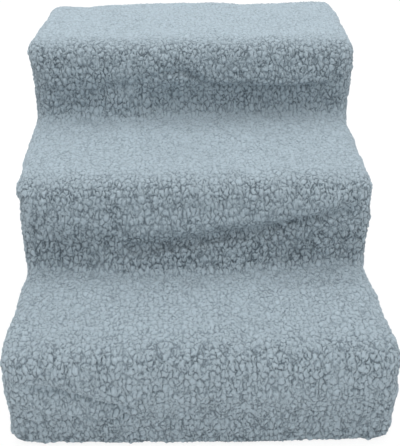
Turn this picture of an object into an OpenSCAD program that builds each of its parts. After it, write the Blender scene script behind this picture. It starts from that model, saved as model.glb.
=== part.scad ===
// Pet stairs: three moulded steps that snap together, under a fleece slipcover that lifts off.
// Millimetres. +Z is up, +Y runs from the front of the stairs to the back, and +X is to the right, seen from
// the front. The origin is on the floor, under the middle of the covered stairs.

/* [Steps] */
// Width of the moulded frame over its side panels
frame_w = 384; // [320:2:460]
// Depth of one step, from nose to nose
step_run = 190; // [150:2:230]
// Height of one step
step_rise = 100; // [80:2:130]

/* [Deck] */
// Thickness of the deck's top plate
deck_plate_t = 3; // [2:0.1:4]
// Thickness of the deck's skirt
deck_wall = 2.4; // [1.8:0.1:3]
// Height of the deck, top plate and skirt together
deck_h = 28; // [26:0.5:34]
// Radius of the deck's front and rear top edges
deck_nose_r = 6; // [4.5:0.5:8]
// Radius of the deck's left and right top edges
deck_side_r = 4; // [4:0.5:6]
// Thickness of the ribs under the plate
deck_rib_t = 2; // [1.6:0.1:2.6]
// Depth of the ribs under the plate
deck_rib_h = 22; // [14:0.5:23]
// Number of waffle cells from left to right
deck_cells_x = 8; // [6:1:10]
// Number of waffle cells from front to back
deck_cells_y = 4; // [3:1:6]
// Width of plate left between two cell windows
deck_web = 20; // [14:0.5:26]
// Corner radius of a cell window
deck_window_r = 6; // [3:0.5:8]

/* [Side panel] */
// Thickness of a side panel, from its outer skin to its open inner side
panel_t = 22; // [19:0.5:28]
// Thickness of the outer skin
panel_skin = 2.4; // [1.8:0.1:3.2]
// Thickness of the flange around the panel
panel_flange = 2.4; // [1.8:0.1:3.2]
// Thickness of the ribs between the windows
panel_rib_t = 2; // [1.6:0.1:2.6]
// Number of window columns
panel_columns = 3; // [2:1:4]
// Width of skin left between two windows
panel_web = 10; // [8:0.5:14]
// Corner radius of a window
panel_window_r = 7; // [4:0.5:9]
// Width of the snap that holds a deck down
snap_w = 14; // [10:0.5:18]
// Height of that snap
snap_h = 5; // [4:0.25:6]
// How far the snap stands out
snap_reach = 1.6; // [1:0.1:2]

/* [Cross rails] */
// Height of a cross rail
rail_h = 24; // [20:0.5:28]
// Depth of a cross rail
rail_d = 14; // [12:0.5:18]
// Wall of the rail's channel
rail_wall = 2.2; // [1.8:0.1:2.8]
// Number of bays between the rail's stiffening webs
rail_bays = 7; // [5:1:9]
// How much smaller the tongue is than the rail, on each side
rail_shoulder = 2; // [1.5:0.1:3]
// Wall of the socket that takes the tongue
socket_wall = 3; // [2.4:0.1:3.6]
// Thickness of the socket's outer end
socket_end = 5; // [4.2:0.1:6]

/* [Fasteners and feet] */
// Diameter of a snap rivet's shank
rivet_d = 6; // [5:0.1:7]
// Length of the shank under the head
rivet_l = 11; // [9:0.25:13]
// Diameter of the rivet's head
rivet_head_d = 10.6; // [9:0.1:12]
// Thickness of the rivet's head
rivet_head_t = 2; // [1.5:0.1:2.4]
// Length of a bow-tie link key, along the side panels
key_l = 14; // [12:0.25:16]
// Height of the key at its wide ends
key_h = 16; // [14:0.25:18]
// Height of the key at its waist
key_waist = 10; // [8:0.25:12]
// Thickness of the key, across the side panels
key_t = 15; // [12:0.25:17]
// Diameter of a rubber foot
foot_d = 20; // [16:0.5:22]
// Height of the foot under the side panel
foot_h = 4; // [3:0.25:6]
// Diameter of the foot's plug
foot_plug_d = 8; // [7:0.25:9]
// Length of the foot's plug
foot_plug_l = 8; // [6:0.25:9.5]
// Distance of a foot from the front or rear end of its side panel
foot_inset = 44; // [40:0.5:56]

/* [Slipcover] */
// Thickness of the fleece, pile and backing together
fleece_t = 9; // [7:0.25:10.5]
// Thickness of the foam pad on a tread
pad_t = 7; // [5:0.25:9]
// How far a pad wraps down over the nose
pad_drop = 14; // [10:0.5:20]
// Thickness of the lining under a pad
lining_t = 0.7; // [0.5:0.05:1]
// Radius of the cover's edges along the sides
cover_corner_r = 12; // [11:0.25:14]
// Radius of the cover in the corner where a riser meets a tread
cover_crease_r = 12; // [8:0.5:16]
// Radius of the cover over the top rear edge
cover_back_r = 24; // [21:0.5:28]
// How far the middle of an open riser sinks towards the frame
riser_sag = 4.8; // [3:0.1:6]
// How much a riser leans in from the nose down to the next tread
riser_lean = 3.6; // [2:0.1:5]
// How much the front leans in from the first nose down to the drawn hem
hem_draw = 7; // [5:0.1:7.5]
// Height of the hem casing
hem_h = 11; // [9:0.25:13]
// Width of the elastic in the hem
elastic_w = 6; // [5:0.25:7]
// Thickness of the elastic
elastic_t = 1.6; // [1.2:0.1:2]

/* [Hidden] */
$fn = 48;
STEPS = ["low", "mid", "top"];
SIDES = ["left", "right"];
ENDS = ["front", "rear"];
top_step = len(STEPS) - 1;
// Joints and clearances
panel_gap = 0.5;
fit_gap = 0.2;
seat_gap = 0.3;
key_gap = 0.15;
cover_gap = 0.5;
cover_side_gap = 1.2;
layer_gap = 0.3;
hem_floor_gap = 2.5;
overrun = 0.5;
// Smaller sizes of the mouldings
window_edge = 8;
window_socket_gap = 4;
key_wall = 3;
foot_boss_wall = 3;
foot_boss_h = 10;
foot_boss_gap = 2;
snap_gap = 0.3;
rivet_tip = 0.8;
// How much less the front riser sinks than the ones above a tread, as a share
front_sag_share = 0.35;
// Rows of the cover's mesh along one riser, nose, tread, crease and the top rear edge
riser_rows = 5;
nose_rows = 4;
tread_rows = 2;
crease_rows = 2;
back_rows = 4;
// Places of the cover's inner columns, as shares of its flat half width
column_shares = [-0.75, -0.5, -0.25, 0, 0.25, 0.5, 0.75];
// Folds hanging in the risers, low to top. Each runs from one point to another, and a point is a share of the
// half width and a share of the way down the riser. Last come the fold's depth, as a share of the sag, and
// its width, as a share of the riser's height. A negative depth is a ridge.
fold_shares = [
    [[-0.9, 0.28, -0.42, 0.6, 0.5, 0.16], [0.6, 0.1, 0.95, 0.5, 0.4, 0.16]],
    [[-0.28, 0.84, 0.95, 0.16, 0.55, 0.2], [0.5, 0.7, 0.9, 0.62, -0.5, 0.14]],
    [[-0.35, 0.28, 0.95, 0.72, 0.55, 0.18], [-0.1, 0.12, 0.95, 0.36, -0.7, 0.16]],
];

// Sizes worked out from the ones above
step_d = step_run - panel_gap;
frame_d = step_run * len(STEPS) - panel_gap;
socket_d = rail_d - 2 * rail_shoulder + 2 * (fit_gap + socket_wall);
socket_h = rail_h - 2 * rail_shoulder + 2 * (fit_gap + socket_wall);
key_block_l = key_l / 2 + key_gap + key_wall - panel_gap / 2;
key_block_h = key_h + 2 * (key_gap + key_wall);
rail_inset = key_block_l + socket_d / 2;
window_inset = key_block_l + socket_d + window_socket_gap;
window_w = (step_d - 2 * window_inset - (panel_columns - 1) * panel_web) / panel_columns;
pad_in = cover_gap + lining_t + layer_gap;
cover_in = pad_in + pad_t + layer_gap;
cover_out = cover_in + fleece_t;
cover_back = cover_side_gap + fleece_t;
cover_half_w = frame_w / 2 + cover_side_gap + fleece_t;
cover_front_y = -(cover_out + frame_d + cover_back) / 2;
frame_y = cover_front_y + cover_out;
frame_back_y = frame_y + frame_d;
hem_top = hem_floor_gap + hem_h;

function front_y(i) = frame_y + i * step_run;
function top_z(i) = (i + 1) * step_rise;
function shoulder_z(i) = top_z(i) - deck_h - seat_gap;
function rail_z(level) = level * step_rise + foot_h + panel_flange + socket_h / 2;
function key_z(level) = level * step_rise + shoulder_z(0) - panel_flange - key_block_h / 2;
function rear_rail_y(i) = front_y(i) + step_d - rail_inset;
function front_rail_y() = front_y(0) + rail_inset;

// A rectangle with its lower left corner at the origin and round corners.
module round_rect(w, h, r) {
    translate([r, 0]) square([w - 2 * r, h]);
    translate([0, r]) square([w, h - 2 * r]);
    for (x = [r, w - r], y = [r, h - r]) translate([x, y]) circle(r);
}

// A slab seen from its end, with both upper corners round.
module slab_end(w, h, r) {
    square([w, h - r]);
    translate([r, 0]) square([w - 2 * r, h]);
    for (x = [r, w - r]) translate([x, h - r]) circle(r);
}

// Carries a shape drawn with Y and Z as its axes into place, centred on X, and extrudes it along X.
module across(w) {
    translate([-w / 2, 0, 0]) rotate([90, 0, 90]) linear_extrude(w) children();
}

// Extrudes a shape drawn with X and Z as its axes along Y, from the origin to the back.
module to_the_back(d) {
    translate([0, d, 0]) rotate([90, 0, 0]) linear_extrude(d) children();
}

// The deck's outside: its nose and rear edge are round, and so are its two side edges.
module deck_solid(w, d, h, edge_r, side_r) {
    intersection() {
        across(w) slab_end(d, h, edge_r);
        translate([-w / 2, 0, 0]) to_the_back(d) slab_end(w, h, side_r);
    }
}

// A moulded deck: top plate, skirt, waffle ribs, a window in each cell, and slots for the side panels' snaps.
module deck(i) {
    inner_w = frame_w - 2 * deck_wall;
    inner_d = step_d - 2 * deck_wall;
    waffle_w = frame_w - 2 * (panel_t + fit_gap);
    cell_w = (waffle_w - deck_rib_t) / deck_cells_x;
    cell_d = inner_d / deck_cells_y;
    rib_z = deck_h - deck_plate_t - deck_rib_h;
    translate([0, front_y(i), top_z(i) - deck_h]) difference() {
        union() {
            difference() {
                deck_solid(frame_w, step_d, deck_h, deck_nose_r, deck_side_r);
                translate([0, deck_wall, -overrun])
                    deck_solid(inner_w, inner_d, deck_h - deck_plate_t + overrun,
                        deck_nose_r - deck_wall, deck_side_r - deck_wall);
            }
            intersection() {
                translate([0, deck_wall / 2, 0])
                    deck_solid(frame_w - deck_wall, step_d - deck_wall, deck_h - deck_plate_t / 2,
                        deck_nose_r - deck_wall / 2, deck_side_r - deck_wall / 2);
                union() {
                    for (c = [0:deck_cells_x])
                        translate([-waffle_w / 2 + c * cell_w, 0, rib_z])
                            cube([deck_rib_t, step_d, deck_rib_h + deck_plate_t]);
                    for (c = [1:deck_cells_y - 1])
                        translate([-waffle_w / 2, deck_wall + c * cell_d - deck_rib_t / 2, rib_z])
                            cube([waffle_w, deck_rib_t, deck_rib_h + deck_plate_t]);
                }
            }
        }
        for (a = [0:deck_cells_x - 1], b = [0:deck_cells_y - 1])
            translate([
                -waffle_w / 2 + deck_rib_t / 2 + a * cell_w + deck_web / 2,
                deck_wall + b * cell_d + deck_web / 2,
                deck_h - deck_plate_t - overrun
            ]) linear_extrude(deck_plate_t + 2 * overrun)
                round_rect(cell_w - deck_web, cell_d - deck_web, deck_window_r);
        for (y = [step_d / 4, step_d * 3 / 4])
            translate([0, y, snap_z()])
                cube([frame_w + 2 * overrun, snap_w + 2 * snap_gap, snap_h + 2 * snap_gap], center = true);
    }
}

// Height of a snap's middle above the deck's lower rim.
function snap_z() = (deck_h - deck_plate_t) / 2;

// The right side panel of a step. Its outer face is flat, and its flange, ribs and sockets face inwards.
module side_panel_right(i) {
    outer = frame_w / 2;
    inner = outer - panel_t;
    shoulder = shoulder_z(i);
    neck_in = deck_wall + fit_gap;
    neck_x = outer - neck_in;
    neck_d = step_d - 2 * neck_in;
    neck_top = top_z(i) - deck_plate_t;
    rows = 1 + 2 * i;
    window_z = foot_h + foot_boss_h + foot_boss_gap;
    window_h = (shoulder - window_edge - window_z - (rows - 1) * panel_web) / rows;
    translate([0, front_y(i), 0]) difference() {
        union() {
            difference() {
                union() {
                    // Skin and flange up to the shoulder
                    translate([inner, 0, foot_h]) cube([panel_t, step_d, shoulder - foot_h]);
                    // Neck that the deck's skirt slides over
                    intersection() {
                        translate([0, neck_in, shoulder - overrun])
                            deck_solid(2 * neck_x, neck_d, neck_top - shoulder + overrun,
                                deck_nose_r - neck_in, deck_side_r - neck_in);
                        translate([inner, 0, foot_h]) cube([panel_t, step_d, neck_top]);
                    }
                }
                translate([inner - overrun, panel_flange, foot_h + panel_flange])
                    cube([panel_t - panel_skin + overrun, step_d - 2 * panel_flange,
                        shoulder - foot_h - 2 * panel_flange]);
                translate([inner - overrun, neck_in + panel_flange, shoulder])
                    cube([neck_x - inner - panel_skin + overrun, neck_d - 2 * panel_flange,
                        neck_top - shoulder - panel_flange]);
            }
            for (c = [0:panel_columns])
                translate([inner, window_inset + c * (window_w + panel_web)
                    - (panel_web + panel_rib_t) / 2, foot_h])
                    cube([panel_t - panel_skin, panel_rib_t, shoulder - foot_h]);
            for (r = [0:rows - 1])
                translate([inner, 0, window_z + r * (window_h + panel_web)
                    - (panel_web + panel_rib_t) / 2])
                    cube([panel_t - panel_skin, step_d, panel_rib_t]);
            // Sockets for the cross rails' tongues
            for (level = [0:i]) socket_block(step_d - rail_inset, rail_z(level));
            if (i == 0) socket_block(rail_inset, rail_z(0));
            // Blocks for the link keys, at the rear and at the front
            if (i < top_step) for (level = [0:i]) key_block(step_d - key_block_l, key_z(level));
            if (i > 0) for (level = [0:i - 1]) key_block(0, key_z(level));
            // Bosses for the feet, and the two snaps on the neck
            for (y = [foot_inset, step_d - foot_inset])
                translate([outer - panel_t / 2, y, foot_h])
                    cylinder(d = foot_plug_d + 2 * foot_boss_wall, h = foot_boss_h);
            for (y = [step_d / 4, step_d * 3 / 4])
                translate([neck_x - panel_skin, y - snap_w / 2, top_z(i) - deck_h + snap_z() - snap_h / 2])
                    snap_nib();
        }
        for (c = [0:panel_columns - 1], r = [0:rows - 1])
            translate([outer - panel_skin - overrun, window_inset + c * (window_w + panel_web),
                window_z + r * (window_h + panel_web)])
                rotate([90, 0, 90]) linear_extrude(panel_skin + 2 * overrun)
                    round_rect(window_w, window_h, panel_window_r);
        for (level = [0:i]) socket_hole(step_d - rail_inset, rail_z(level));
        if (i == 0) socket_hole(rail_inset, rail_z(0));
        if (i < top_step) for (level = [0:i]) key_slot(step_d + panel_gap / 2, key_z(level));
        if (i > 0) for (level = [0:i - 1]) key_slot(-panel_gap / 2, key_z(level));
        for (y = [foot_inset, step_d - foot_inset])
            translate([outer - panel_t / 2, y, foot_h - overrun])
                cylinder(d = foot_plug_d + 2 * fit_gap, h = foot_plug_l + seat_gap + overrun);
    }
}

// A wedge that the deck's skirt springs over: it slopes out from its top to its lower edge.
module snap_nib() {
    to_the_back(snap_w) polygon([[0, 0], [panel_skin + snap_reach, 0], [panel_skin, snap_h], [0, snap_h]]);
}

module socket_block(y, z) {
    translate([frame_w / 2 - panel_t, y - socket_d / 2, z - socket_h / 2])
        cube([panel_t, socket_d, socket_h]);
}

// The socket's inside, and the stepped hole for the rivet's shank and head.
module socket_hole(y, z) {
    d = socket_d - 2 * socket_wall;
    h = socket_h - 2 * socket_wall;
    translate([frame_w / 2 - panel_t - overrun, y - d / 2, z - h / 2])
        cube([panel_t - socket_end + overrun, d, h]);
    translate([frame_w / 2 + overrun, y, z]) rotate([0, -90, 0]) {
        cylinder(d = rivet_d + 2 * fit_gap, h = socket_end + 2 * overrun);
        cylinder(d = rivet_head_d + 2 * fit_gap, h = rivet_head_t + fit_gap + overrun);
    }
}

module key_block(y, z) {
    translate([frame_w / 2 - panel_t, y, z - key_block_h / 2])
        cube([panel_t, key_block_l, key_block_h]);
}

// The space for a link key, open at the panel's inner side.
module key_slot(y, z) {
    translate([frame_w / 2 - panel_t - overrun, y, z])
        rotate([90, 0, 90]) linear_extrude(key_t + key_gap + overrun) bow_tie(key_gap);
}

// The key's outline, grown by a clearance: two dovetails back to back, drawn with Y and Z as its axes.
module bow_tie(grow) {
    end = key_l / 2 + grow;
    wide = key_h / 2 + grow;
    waist = key_waist / 2 + grow;
    polygon([[-end, -wide], [0, -waist], [end, -wide], [end, wide], [0, waist], [-end, wide]]);
}

module side_panel(i, side) {
    color("gainsboro") mirror([side == "left" ? 1 : 0, 0, 0]) side_panel_right(i);
}

// Bow-tie keys that tie each side panel to the one behind it.
module link_keys() {
    color("lightgray") for (s = [0, 1], i = [0:top_step - 1], level = [0:i])
        mirror([s, 0, 0])
            translate([frame_w / 2 - panel_t, front_y(i) + step_d + panel_gap / 2, key_z(level)])
            rotate([90, 0, 90]) linear_extrude(key_t) bow_tie(0);
}

// A cross rail: a channel with stiffening webs, open to the back, and a bored tongue at each end for a rivet.
module cross_rail(y, level) {
    rail_l = frame_w - 2 * (panel_t + fit_gap);
    tongue_l = panel_t - socket_end - fit_gap;
    tongue_d = rail_d - 2 * rail_shoulder;
    tongue_h = rail_h - 2 * rail_shoulder;
    bay = (rail_l - rail_wall) / rail_bays;
    color("gainsboro") translate([0, y, rail_z(level)]) difference() {
        union() {
            difference() {
                cube([rail_l, rail_d, rail_h], center = true);
                translate([0, rail_wall, 0])
                    cube([rail_l - 2 * rail_wall, rail_d, rail_h - 2 * rail_wall], center = true);
            }
            for (b = [1:rail_bays - 1])
                translate([-rail_l / 2 + b * bay, -rail_d / 2, -rail_h / 2])
                    cube([rail_wall, rail_d, rail_h]);
            for (s = [0, 1]) mirror([s, 0, 0])
                translate([rail_l / 2 - bay / 2, -tongue_d / 2, -tongue_h / 2])
                    cube([bay / 2 + tongue_l, tongue_d, tongue_h]);
        }
        for (s = [0, 1]) mirror([s, 0, 0])
            translate([rail_l / 2 + tongue_l + overrun, 0, 0]) rotate([0, -90, 0])
                cylinder(d = rivet_d + fit_gap, h = rivet_l + rivet_tip + overrun);
    }
}

// One snap rivet, its head's outer face at the origin and its shank pointing along -X.
module rivet() {
    rotate([0, -90, 0]) {
        cylinder(d = rivet_head_d, h = rivet_head_t);
        cylinder(d = rivet_d, h = rivet_head_t + rivet_l - rivet_tip);
        translate([0, 0, rivet_head_t + rivet_l - rivet_tip])
            cylinder(d1 = rivet_d, d2 = rivet_d - 2 * rivet_tip, h = rivet_tip);
    }
}

module rail_rivets() {
    color("whitesmoke") for (s = [0, 1]) mirror([s, 0, 0]) {
        translate([frame_w / 2 - fit_gap, front_rail_y(), rail_z(0)]) rivet();
        for (i = [0:top_step], level = [0:i])
            translate([frame_w / 2 - fit_gap, rear_rail_y(i), rail_z(level)]) rivet();
    }
}

// A rubber foot: a pad on the floor with a rounded rim, and a plug that sits in the side panel's boss.
module foot(i, side, end) {
    x = (side == "left" ? -1 : 1) * (frame_w - panel_t) / 2;
    y = front_y(i) + (end == "front" ? foot_inset : step_d - foot_inset);
    rim = foot_h / 4;
    color("dimgray") translate([x, y, 0]) {
        cylinder(d1 = foot_d - 2 * rim, d2 = foot_d, h = rim);
        translate([0, 0, rim]) cylinder(d = foot_d, h = foot_h - rim);
        cylinder(d = foot_plug_d, h = foot_h + foot_plug_l);
    }
}

// A layer that lies on a tread and wraps over the nose, as it looks from the side: all that lies between two
// distances from the deck, cut off under the nose and at the rear.
module wrap_profile(inside, outside, drop, depth) {
    difference() {
        wrap_solid(outside, drop, depth);
        wrap_solid(inside, drop + overrun, depth + overrun);
    }
}

module wrap_solid(away, drop, depth) {
    r = deck_nose_r + away;
    translate([-away, -drop]) square([depth + away, drop - deck_nose_r]);
    translate([deck_nose_r, -drop]) square([depth - deck_nose_r, drop + away]);
    translate([deck_nose_r, -deck_nose_r]) intersection() {
        circle(r);
        translate([-r, -overrun]) square(r + overrun);
    }
}

// How far back the pads and linings reach, measured from the frame's front at that step.
function pad_depth(i) = i < top_step ? step_run - cover_gap : step_d + cover_back - cover_back_r;

module tread_pad(i) {
    color("white") translate([0, front_y(i), top_z(i)])
        across(frame_w - 2 * cover_side_gap)
            wrap_profile(pad_in, pad_in + pad_t, pad_drop, pad_depth(i) - layer_gap);
}

module pad_lining(i) {
    color("slategray") translate([0, front_y(i), top_z(i)])
        across(frame_w - 2 * cover_side_gap)
            wrap_profile(cover_gap, cover_gap + lining_t, pad_drop, pad_depth(i) - layer_gap);
}

// The cover's profile. A row is [y, z, normal y, normal z, step, share of the way down the riser].
// Off a riser that last share is -1.
function riser_foot(i) = i == 0 ? cover_out - hem_draw : cover_out - riser_lean;
function riser_top_z(i) = top_z(i) - pad_drop - layer_gap;
function riser_foot_z(i) = i == 0 ? hem_top + layer_gap : top_z(i - 1) + cover_out + cover_crease_r;
function riser_points(i) = [for (k = [0:riser_rows])
    let (down = 1 - k / riser_rows)
    [front_y(i) - cover_out + (cover_out - riser_foot(i)) * down,
        riser_top_z(i) + (riser_foot_z(i) - riser_top_z(i)) * down, -1, 0, i, down]];
function round_points(centre, r, from, to, rows, i, inward) = [for (k = [0:rows])
    let (a = from + (to - from) * k / rows)
    [centre[0] + r * cos(a), centre[1] + r * sin(a), inward * cos(a), inward * sin(a), i, -1]];
function nose_points(i) =
    let (centre = [front_y(i) + deck_nose_r, top_z(i) - deck_nose_r])
    round_points(centre, deck_nose_r + cover_out, 180, 90, nose_rows, i, 1);
function tread_end_y(i) = i < top_step
    ? front_y(i + 1) - riser_foot(i + 1) - cover_crease_r
    : frame_back_y + cover_back - cover_back_r;
function tread_points(i) = [for (k = [1:tread_rows - 1])
    let (y0 = front_y(i) + deck_nose_r)
    [y0 + (tread_end_y(i) - y0) * k / tread_rows, top_z(i) + cover_out, 0, 1, i, -1]];
function crease_points(i) = i < top_step
    ? let (
        centre = [tread_end_y(i), top_z(i) + cover_out + cover_crease_r],
        all = round_points(centre, cover_crease_r, 270, 360, crease_rows, i, -1)
    ) [for (k = [0:crease_rows - 1]) all[k]]
    : let (centre = [tread_end_y(i), top_z(i) + cover_out - cover_back_r])
        round_points(centre, cover_back_r, 90, 0, back_rows, i, 1);
cover_rows = [for (i = [0:top_step])
    each concat(riser_points(i), nose_points(i), tread_points(i), crease_points(i))];

// The cover across the stairs. A column is [outer x, outer depth, inner x, inner depth], where a depth is
// measured inwards from the profile. The outer three at each side turn the corner.
flat_half_w = cover_half_w - cover_corner_r;
corner_columns = [
    [cover_half_w, cover_corner_r, cover_half_w - fleece_t, cover_corner_r],
    [flat_half_w + cover_corner_r * sin(45), cover_corner_r * (1 - cos(45)),
        cover_half_w - fleece_t, fleece_t],
    [flat_half_w, 0, flat_half_w, fleece_t],
];
cover_columns = concat(
    [for (c = corner_columns) [-c[0], c[1], -c[2], c[3]]],
    [for (s = column_shares) [s * flat_half_w, 0, s * flat_half_w, fleece_t]],
    [for (k = [len(corner_columns) - 1:-1:0]) corner_columns[k]]
);

// How deep the cover hangs in at a point of a riser: the sag between the side panels, and its folds.
function riser_height(i) = riser_top_z(i) - riser_foot_z(i);
function away(p, a, b) =
    let (ab = b - a, t = min(1, max(0, (p - a) * ab / (ab * ab)))) norm(p - a - t * ab);
function fold_depth(i, x, down) = riser_sag * sum([for (f = fold_shares[i])
    let (
        scale = [flat_half_w, riser_height(i)],
        d = away([x, down * scale[1]], [f[0] * scale[0], f[1] * scale[1]], [f[2] * scale[0], f[3] * scale[1]])
    )
    f[4] * exp(-pow(d / (f[5] * scale[1]), 2))]);
function sum(list) = len(list) == 0 ? 0 : list * [for (v = list) 1];
function most_depth(i, down) = cover_out - (cover_out - riser_foot(i)) * down - fleece_t - cover_gap;
function sag(row, x) = row[5] < 0 || abs(x) >= flat_half_w ? 0
    : let (
        i = row[4],
        down = row[5],
        share = i == 0 ? front_sag_share : 1,
        reach = (1 - pow(x / flat_half_w, 4)) * sin(180 * down)
    ) max(0, min(most_depth(i, down), reach * (share * riser_sag + fold_depth(i, x, down))));

function cover_point(row, x, depth, sink) =
    let (d = depth + sink) [x, row[0] - row[2] * d, row[1] - row[3] * d];
function outer_point(row, c) = cover_point(row, c[0], c[1], sag(row, c[0]));
function inner_point(row, c) = cover_point(row, c[2], c[3], sag(row, c[0]));

// Two triangles for each cell of a grid of points, starting at a point's number.
function grid_faces(rows, columns, start, flip) = [for (r = [0:rows - 2], c = [0:columns - 2])
    let (a = start + r * columns + c, b = a + 1, d = a + columns, e = d + 1)
    each flip ? [[a, d, b], [b, d, e]] : [[a, b, d], [b, e, d]]];
// Triangles that close the rim between two numbered runs of points.
function rim_faces(one, two) = [for (k = [0:len(one) - 2])
    each [[one[k], two[k], one[k + 1]], [one[k + 1], two[k], two[k + 1]]]];

// The long fleece panel that runs from the hem up over every riser and tread to the top of the back.
module fleece_steps() {
    nr = len(cover_rows);
    nc = len(cover_columns);
    inside = nr * nc;
    points = concat(
        [for (row = cover_rows, c = cover_columns) outer_point(row, c)],
        [for (row = cover_rows, c = cover_columns) inner_point(row, c)]
    );
    first = [for (c = [0:nc - 1]) c];
    last = [for (c = [0:nc - 1]) (nr - 1) * nc + c];
    left = [for (r = [0:nr - 1]) r * nc];
    right = [for (r = [0:nr - 1]) r * nc + nc - 1];
    faces = concat(
        grid_faces(nr, nc, 0, true),
        grid_faces(nr, nc, inside, false),
        rim_faces([for (n = first) n + inside], first),
        rim_faces(last, [for (n = last) n + inside]),
        rim_faces(left, [for (n = left) n + inside]),
        rim_faces([for (n = right) n + inside], right)
    );
    color("lightsteelblue") polyhedron(points, faces);
}

// The edge of a side panel of fleece, which tucks in under the long panel's turned edge.
seam_depth = cover_corner_r + layer_gap;
side_back_y = frame_back_y + cover_back - seam_depth;
side_outline = concat(
    [for (row = cover_rows) [row[0] - row[2] * seam_depth, row[1] - row[3] * seam_depth]],
    [[side_back_y, hem_top + layer_gap]]
);

module fleece_side(side) {
    x = side == "left" ? -cover_half_w + fleece_t / 2 : cover_half_w - fleece_t / 2;
    color("lightsteelblue") translate([x, 0, 0]) across(fleece_t) polygon(side_outline);
}

// A plate seen from above whose rear corners are round and whose ends turn forwards.
module back_outline() {
    difference() {
        hem_rect(cover_half_w, cover_corner_r);
        hem_rect(cover_half_w - fleece_t, cover_corner_r - fleece_t);
        translate([-cover_half_w - overrun, cover_front_y - overrun])
            square([2 * (cover_half_w + overrun), side_back_y + layer_gap - cover_front_y + overrun]);
    }
}

module fleece_back() {
    top = top_z(top_step) + cover_out - cover_back_r;
    color("lightsteelblue") translate([0, 0, hem_top + layer_gap])
        linear_extrude(top - hem_top - 2 * layer_gap) back_outline();
}

// The ring that the hem follows round the frame, out to a half width, with round corners.
module hem_rect(half_w, r) {
    out = half_w - frame_w / 2;
    translate([-half_w, frame_y - out]) round_rect(2 * half_w, frame_d + 2 * out, r);
}

// The hem casing: a fold of fleece round the foot of the stairs, open below where the elastic goes in.
module hem_casing() {
    middle = cover_half_w - fleece_t / 2;
    slot = elastic_t / 2 + layer_gap;
    color("lightsteelblue") translate([0, 0, hem_floor_gap]) difference() {
        linear_extrude(hem_h) difference() {
            hem_rect(cover_half_w, cover_corner_r);
            hem_rect(cover_half_w - fleece_t, cover_corner_r - fleece_t);
        }
        translate([0, 0, -overrun]) linear_extrude(elastic_w + 2 * layer_gap + overrun) difference() {
            hem_rect(middle + slot, cover_corner_r - fleece_t / 2 + slot);
            hem_rect(middle - slot, cover_corner_r - fleece_t / 2 - slot);
        }
    }
}

module hem_elastic() {
    middle = cover_half_w - fleece_t / 2;
    color("white") translate([0, 0, hem_floor_gap + layer_gap]) linear_extrude(elastic_w) difference() {
        hem_rect(middle + elastic_t / 2, cover_corner_r - (fleece_t - elastic_t) / 2);
        hem_rect(middle - elastic_t / 2, cover_corner_r - (fleece_t + elastic_t) / 2);
    }
}

for (i = [0:top_step]) {
    color("gainsboro") deck(i);
    tread_pad(i);
    pad_lining(i);
    for (side = SIDES) {
        side_panel(i, side);
        for (end = ENDS)
            foot(i, side, end);
    }
    for (level = [0:i])
        cross_rail(rear_rail_y(i), level);
}
cross_rail(front_rail_y(), 0);  // rail_front
link_keys();
rail_rivets();
fleece_steps();
fleece_side("left");  // fleece_left
fleece_side("right");  // fleece_right
fleece_back();
hem_casing();
hem_elastic();
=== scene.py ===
"""Dresses the moulded frame of three-step pet stairs in its fleece slipcover, and lights it in a studio.

Metres. +Z is up, +Y runs from the front of the stairs to the back, and +X is to the right from the front.
"""

import math

import bpy
import numpy as np
from bpy.props import FloatProperty, FloatVectorProperty, IntProperty, PointerProperty
from mathutils import Matrix, Vector
from mathutils.geometry import delaunay_2d_cdt


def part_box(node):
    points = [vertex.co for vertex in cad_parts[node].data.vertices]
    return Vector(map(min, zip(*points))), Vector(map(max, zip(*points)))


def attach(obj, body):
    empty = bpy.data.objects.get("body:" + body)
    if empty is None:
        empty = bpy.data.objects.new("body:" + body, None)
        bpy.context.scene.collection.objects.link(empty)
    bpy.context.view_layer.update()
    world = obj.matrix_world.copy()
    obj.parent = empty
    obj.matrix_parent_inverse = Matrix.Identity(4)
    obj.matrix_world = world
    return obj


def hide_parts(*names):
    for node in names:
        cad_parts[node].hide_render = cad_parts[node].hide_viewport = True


bl_info = {
    "name": "Pet Stairs with Fleece Slipcover",
    "version": (1, 0, 0),
    "blender": (4, 5, 0),
    "location": "View3D > Sidebar > Pet Stairs",
    "description": "Dresses the moulded frame of three-step pet stairs in its padded fleece slipcover",
    "category": "Object",
}

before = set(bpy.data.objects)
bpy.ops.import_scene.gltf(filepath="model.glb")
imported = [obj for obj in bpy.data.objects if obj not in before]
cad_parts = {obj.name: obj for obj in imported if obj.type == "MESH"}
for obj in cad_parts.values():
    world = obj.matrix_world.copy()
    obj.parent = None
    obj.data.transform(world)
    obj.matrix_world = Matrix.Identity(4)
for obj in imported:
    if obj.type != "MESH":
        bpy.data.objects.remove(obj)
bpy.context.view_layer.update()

MM = 0.001
STEPS = ("low", "mid", "top")
SIDES = ("left", "right")


def corners(node):
    """The lowest and highest corner of a CAD node."""
    low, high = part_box(node)
    return np.array(low), np.array(high)


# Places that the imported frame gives
DECKS = [corners(f"deck_{step}") for step in STEPS]
FRONTS = [low[1] for low, high in DECKS]
TOPS = [high[2] for low, high in DECKS]
STEPS_LOW, STEPS_HIGH = corners("fleece_steps")
SIDE_LOW, SIDE_HIGH = corners("fleece_right")
BACK_LOW, BACK_HIGH = corners("fleece_back")
HEM_LOW, HEM_HIGH = corners("hem_casing")
HALF_WIDTH = STEPS_HIGH[0]
FLEECE_THICK = SIDE_HIGH[0] - SIDE_LOW[0]
COVER_OUT = FRONTS[0] - STEPS_LOW[1]
PAD_HIGH = corners("tread_pad_low")[1]
PAD_OUT = PAD_HIGH[2] - TOPS[0]
LINING_HIGH = corners("pad_lining_low")[1]
LINING_OUT = LINING_HIGH[2] - TOPS[0]

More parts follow.
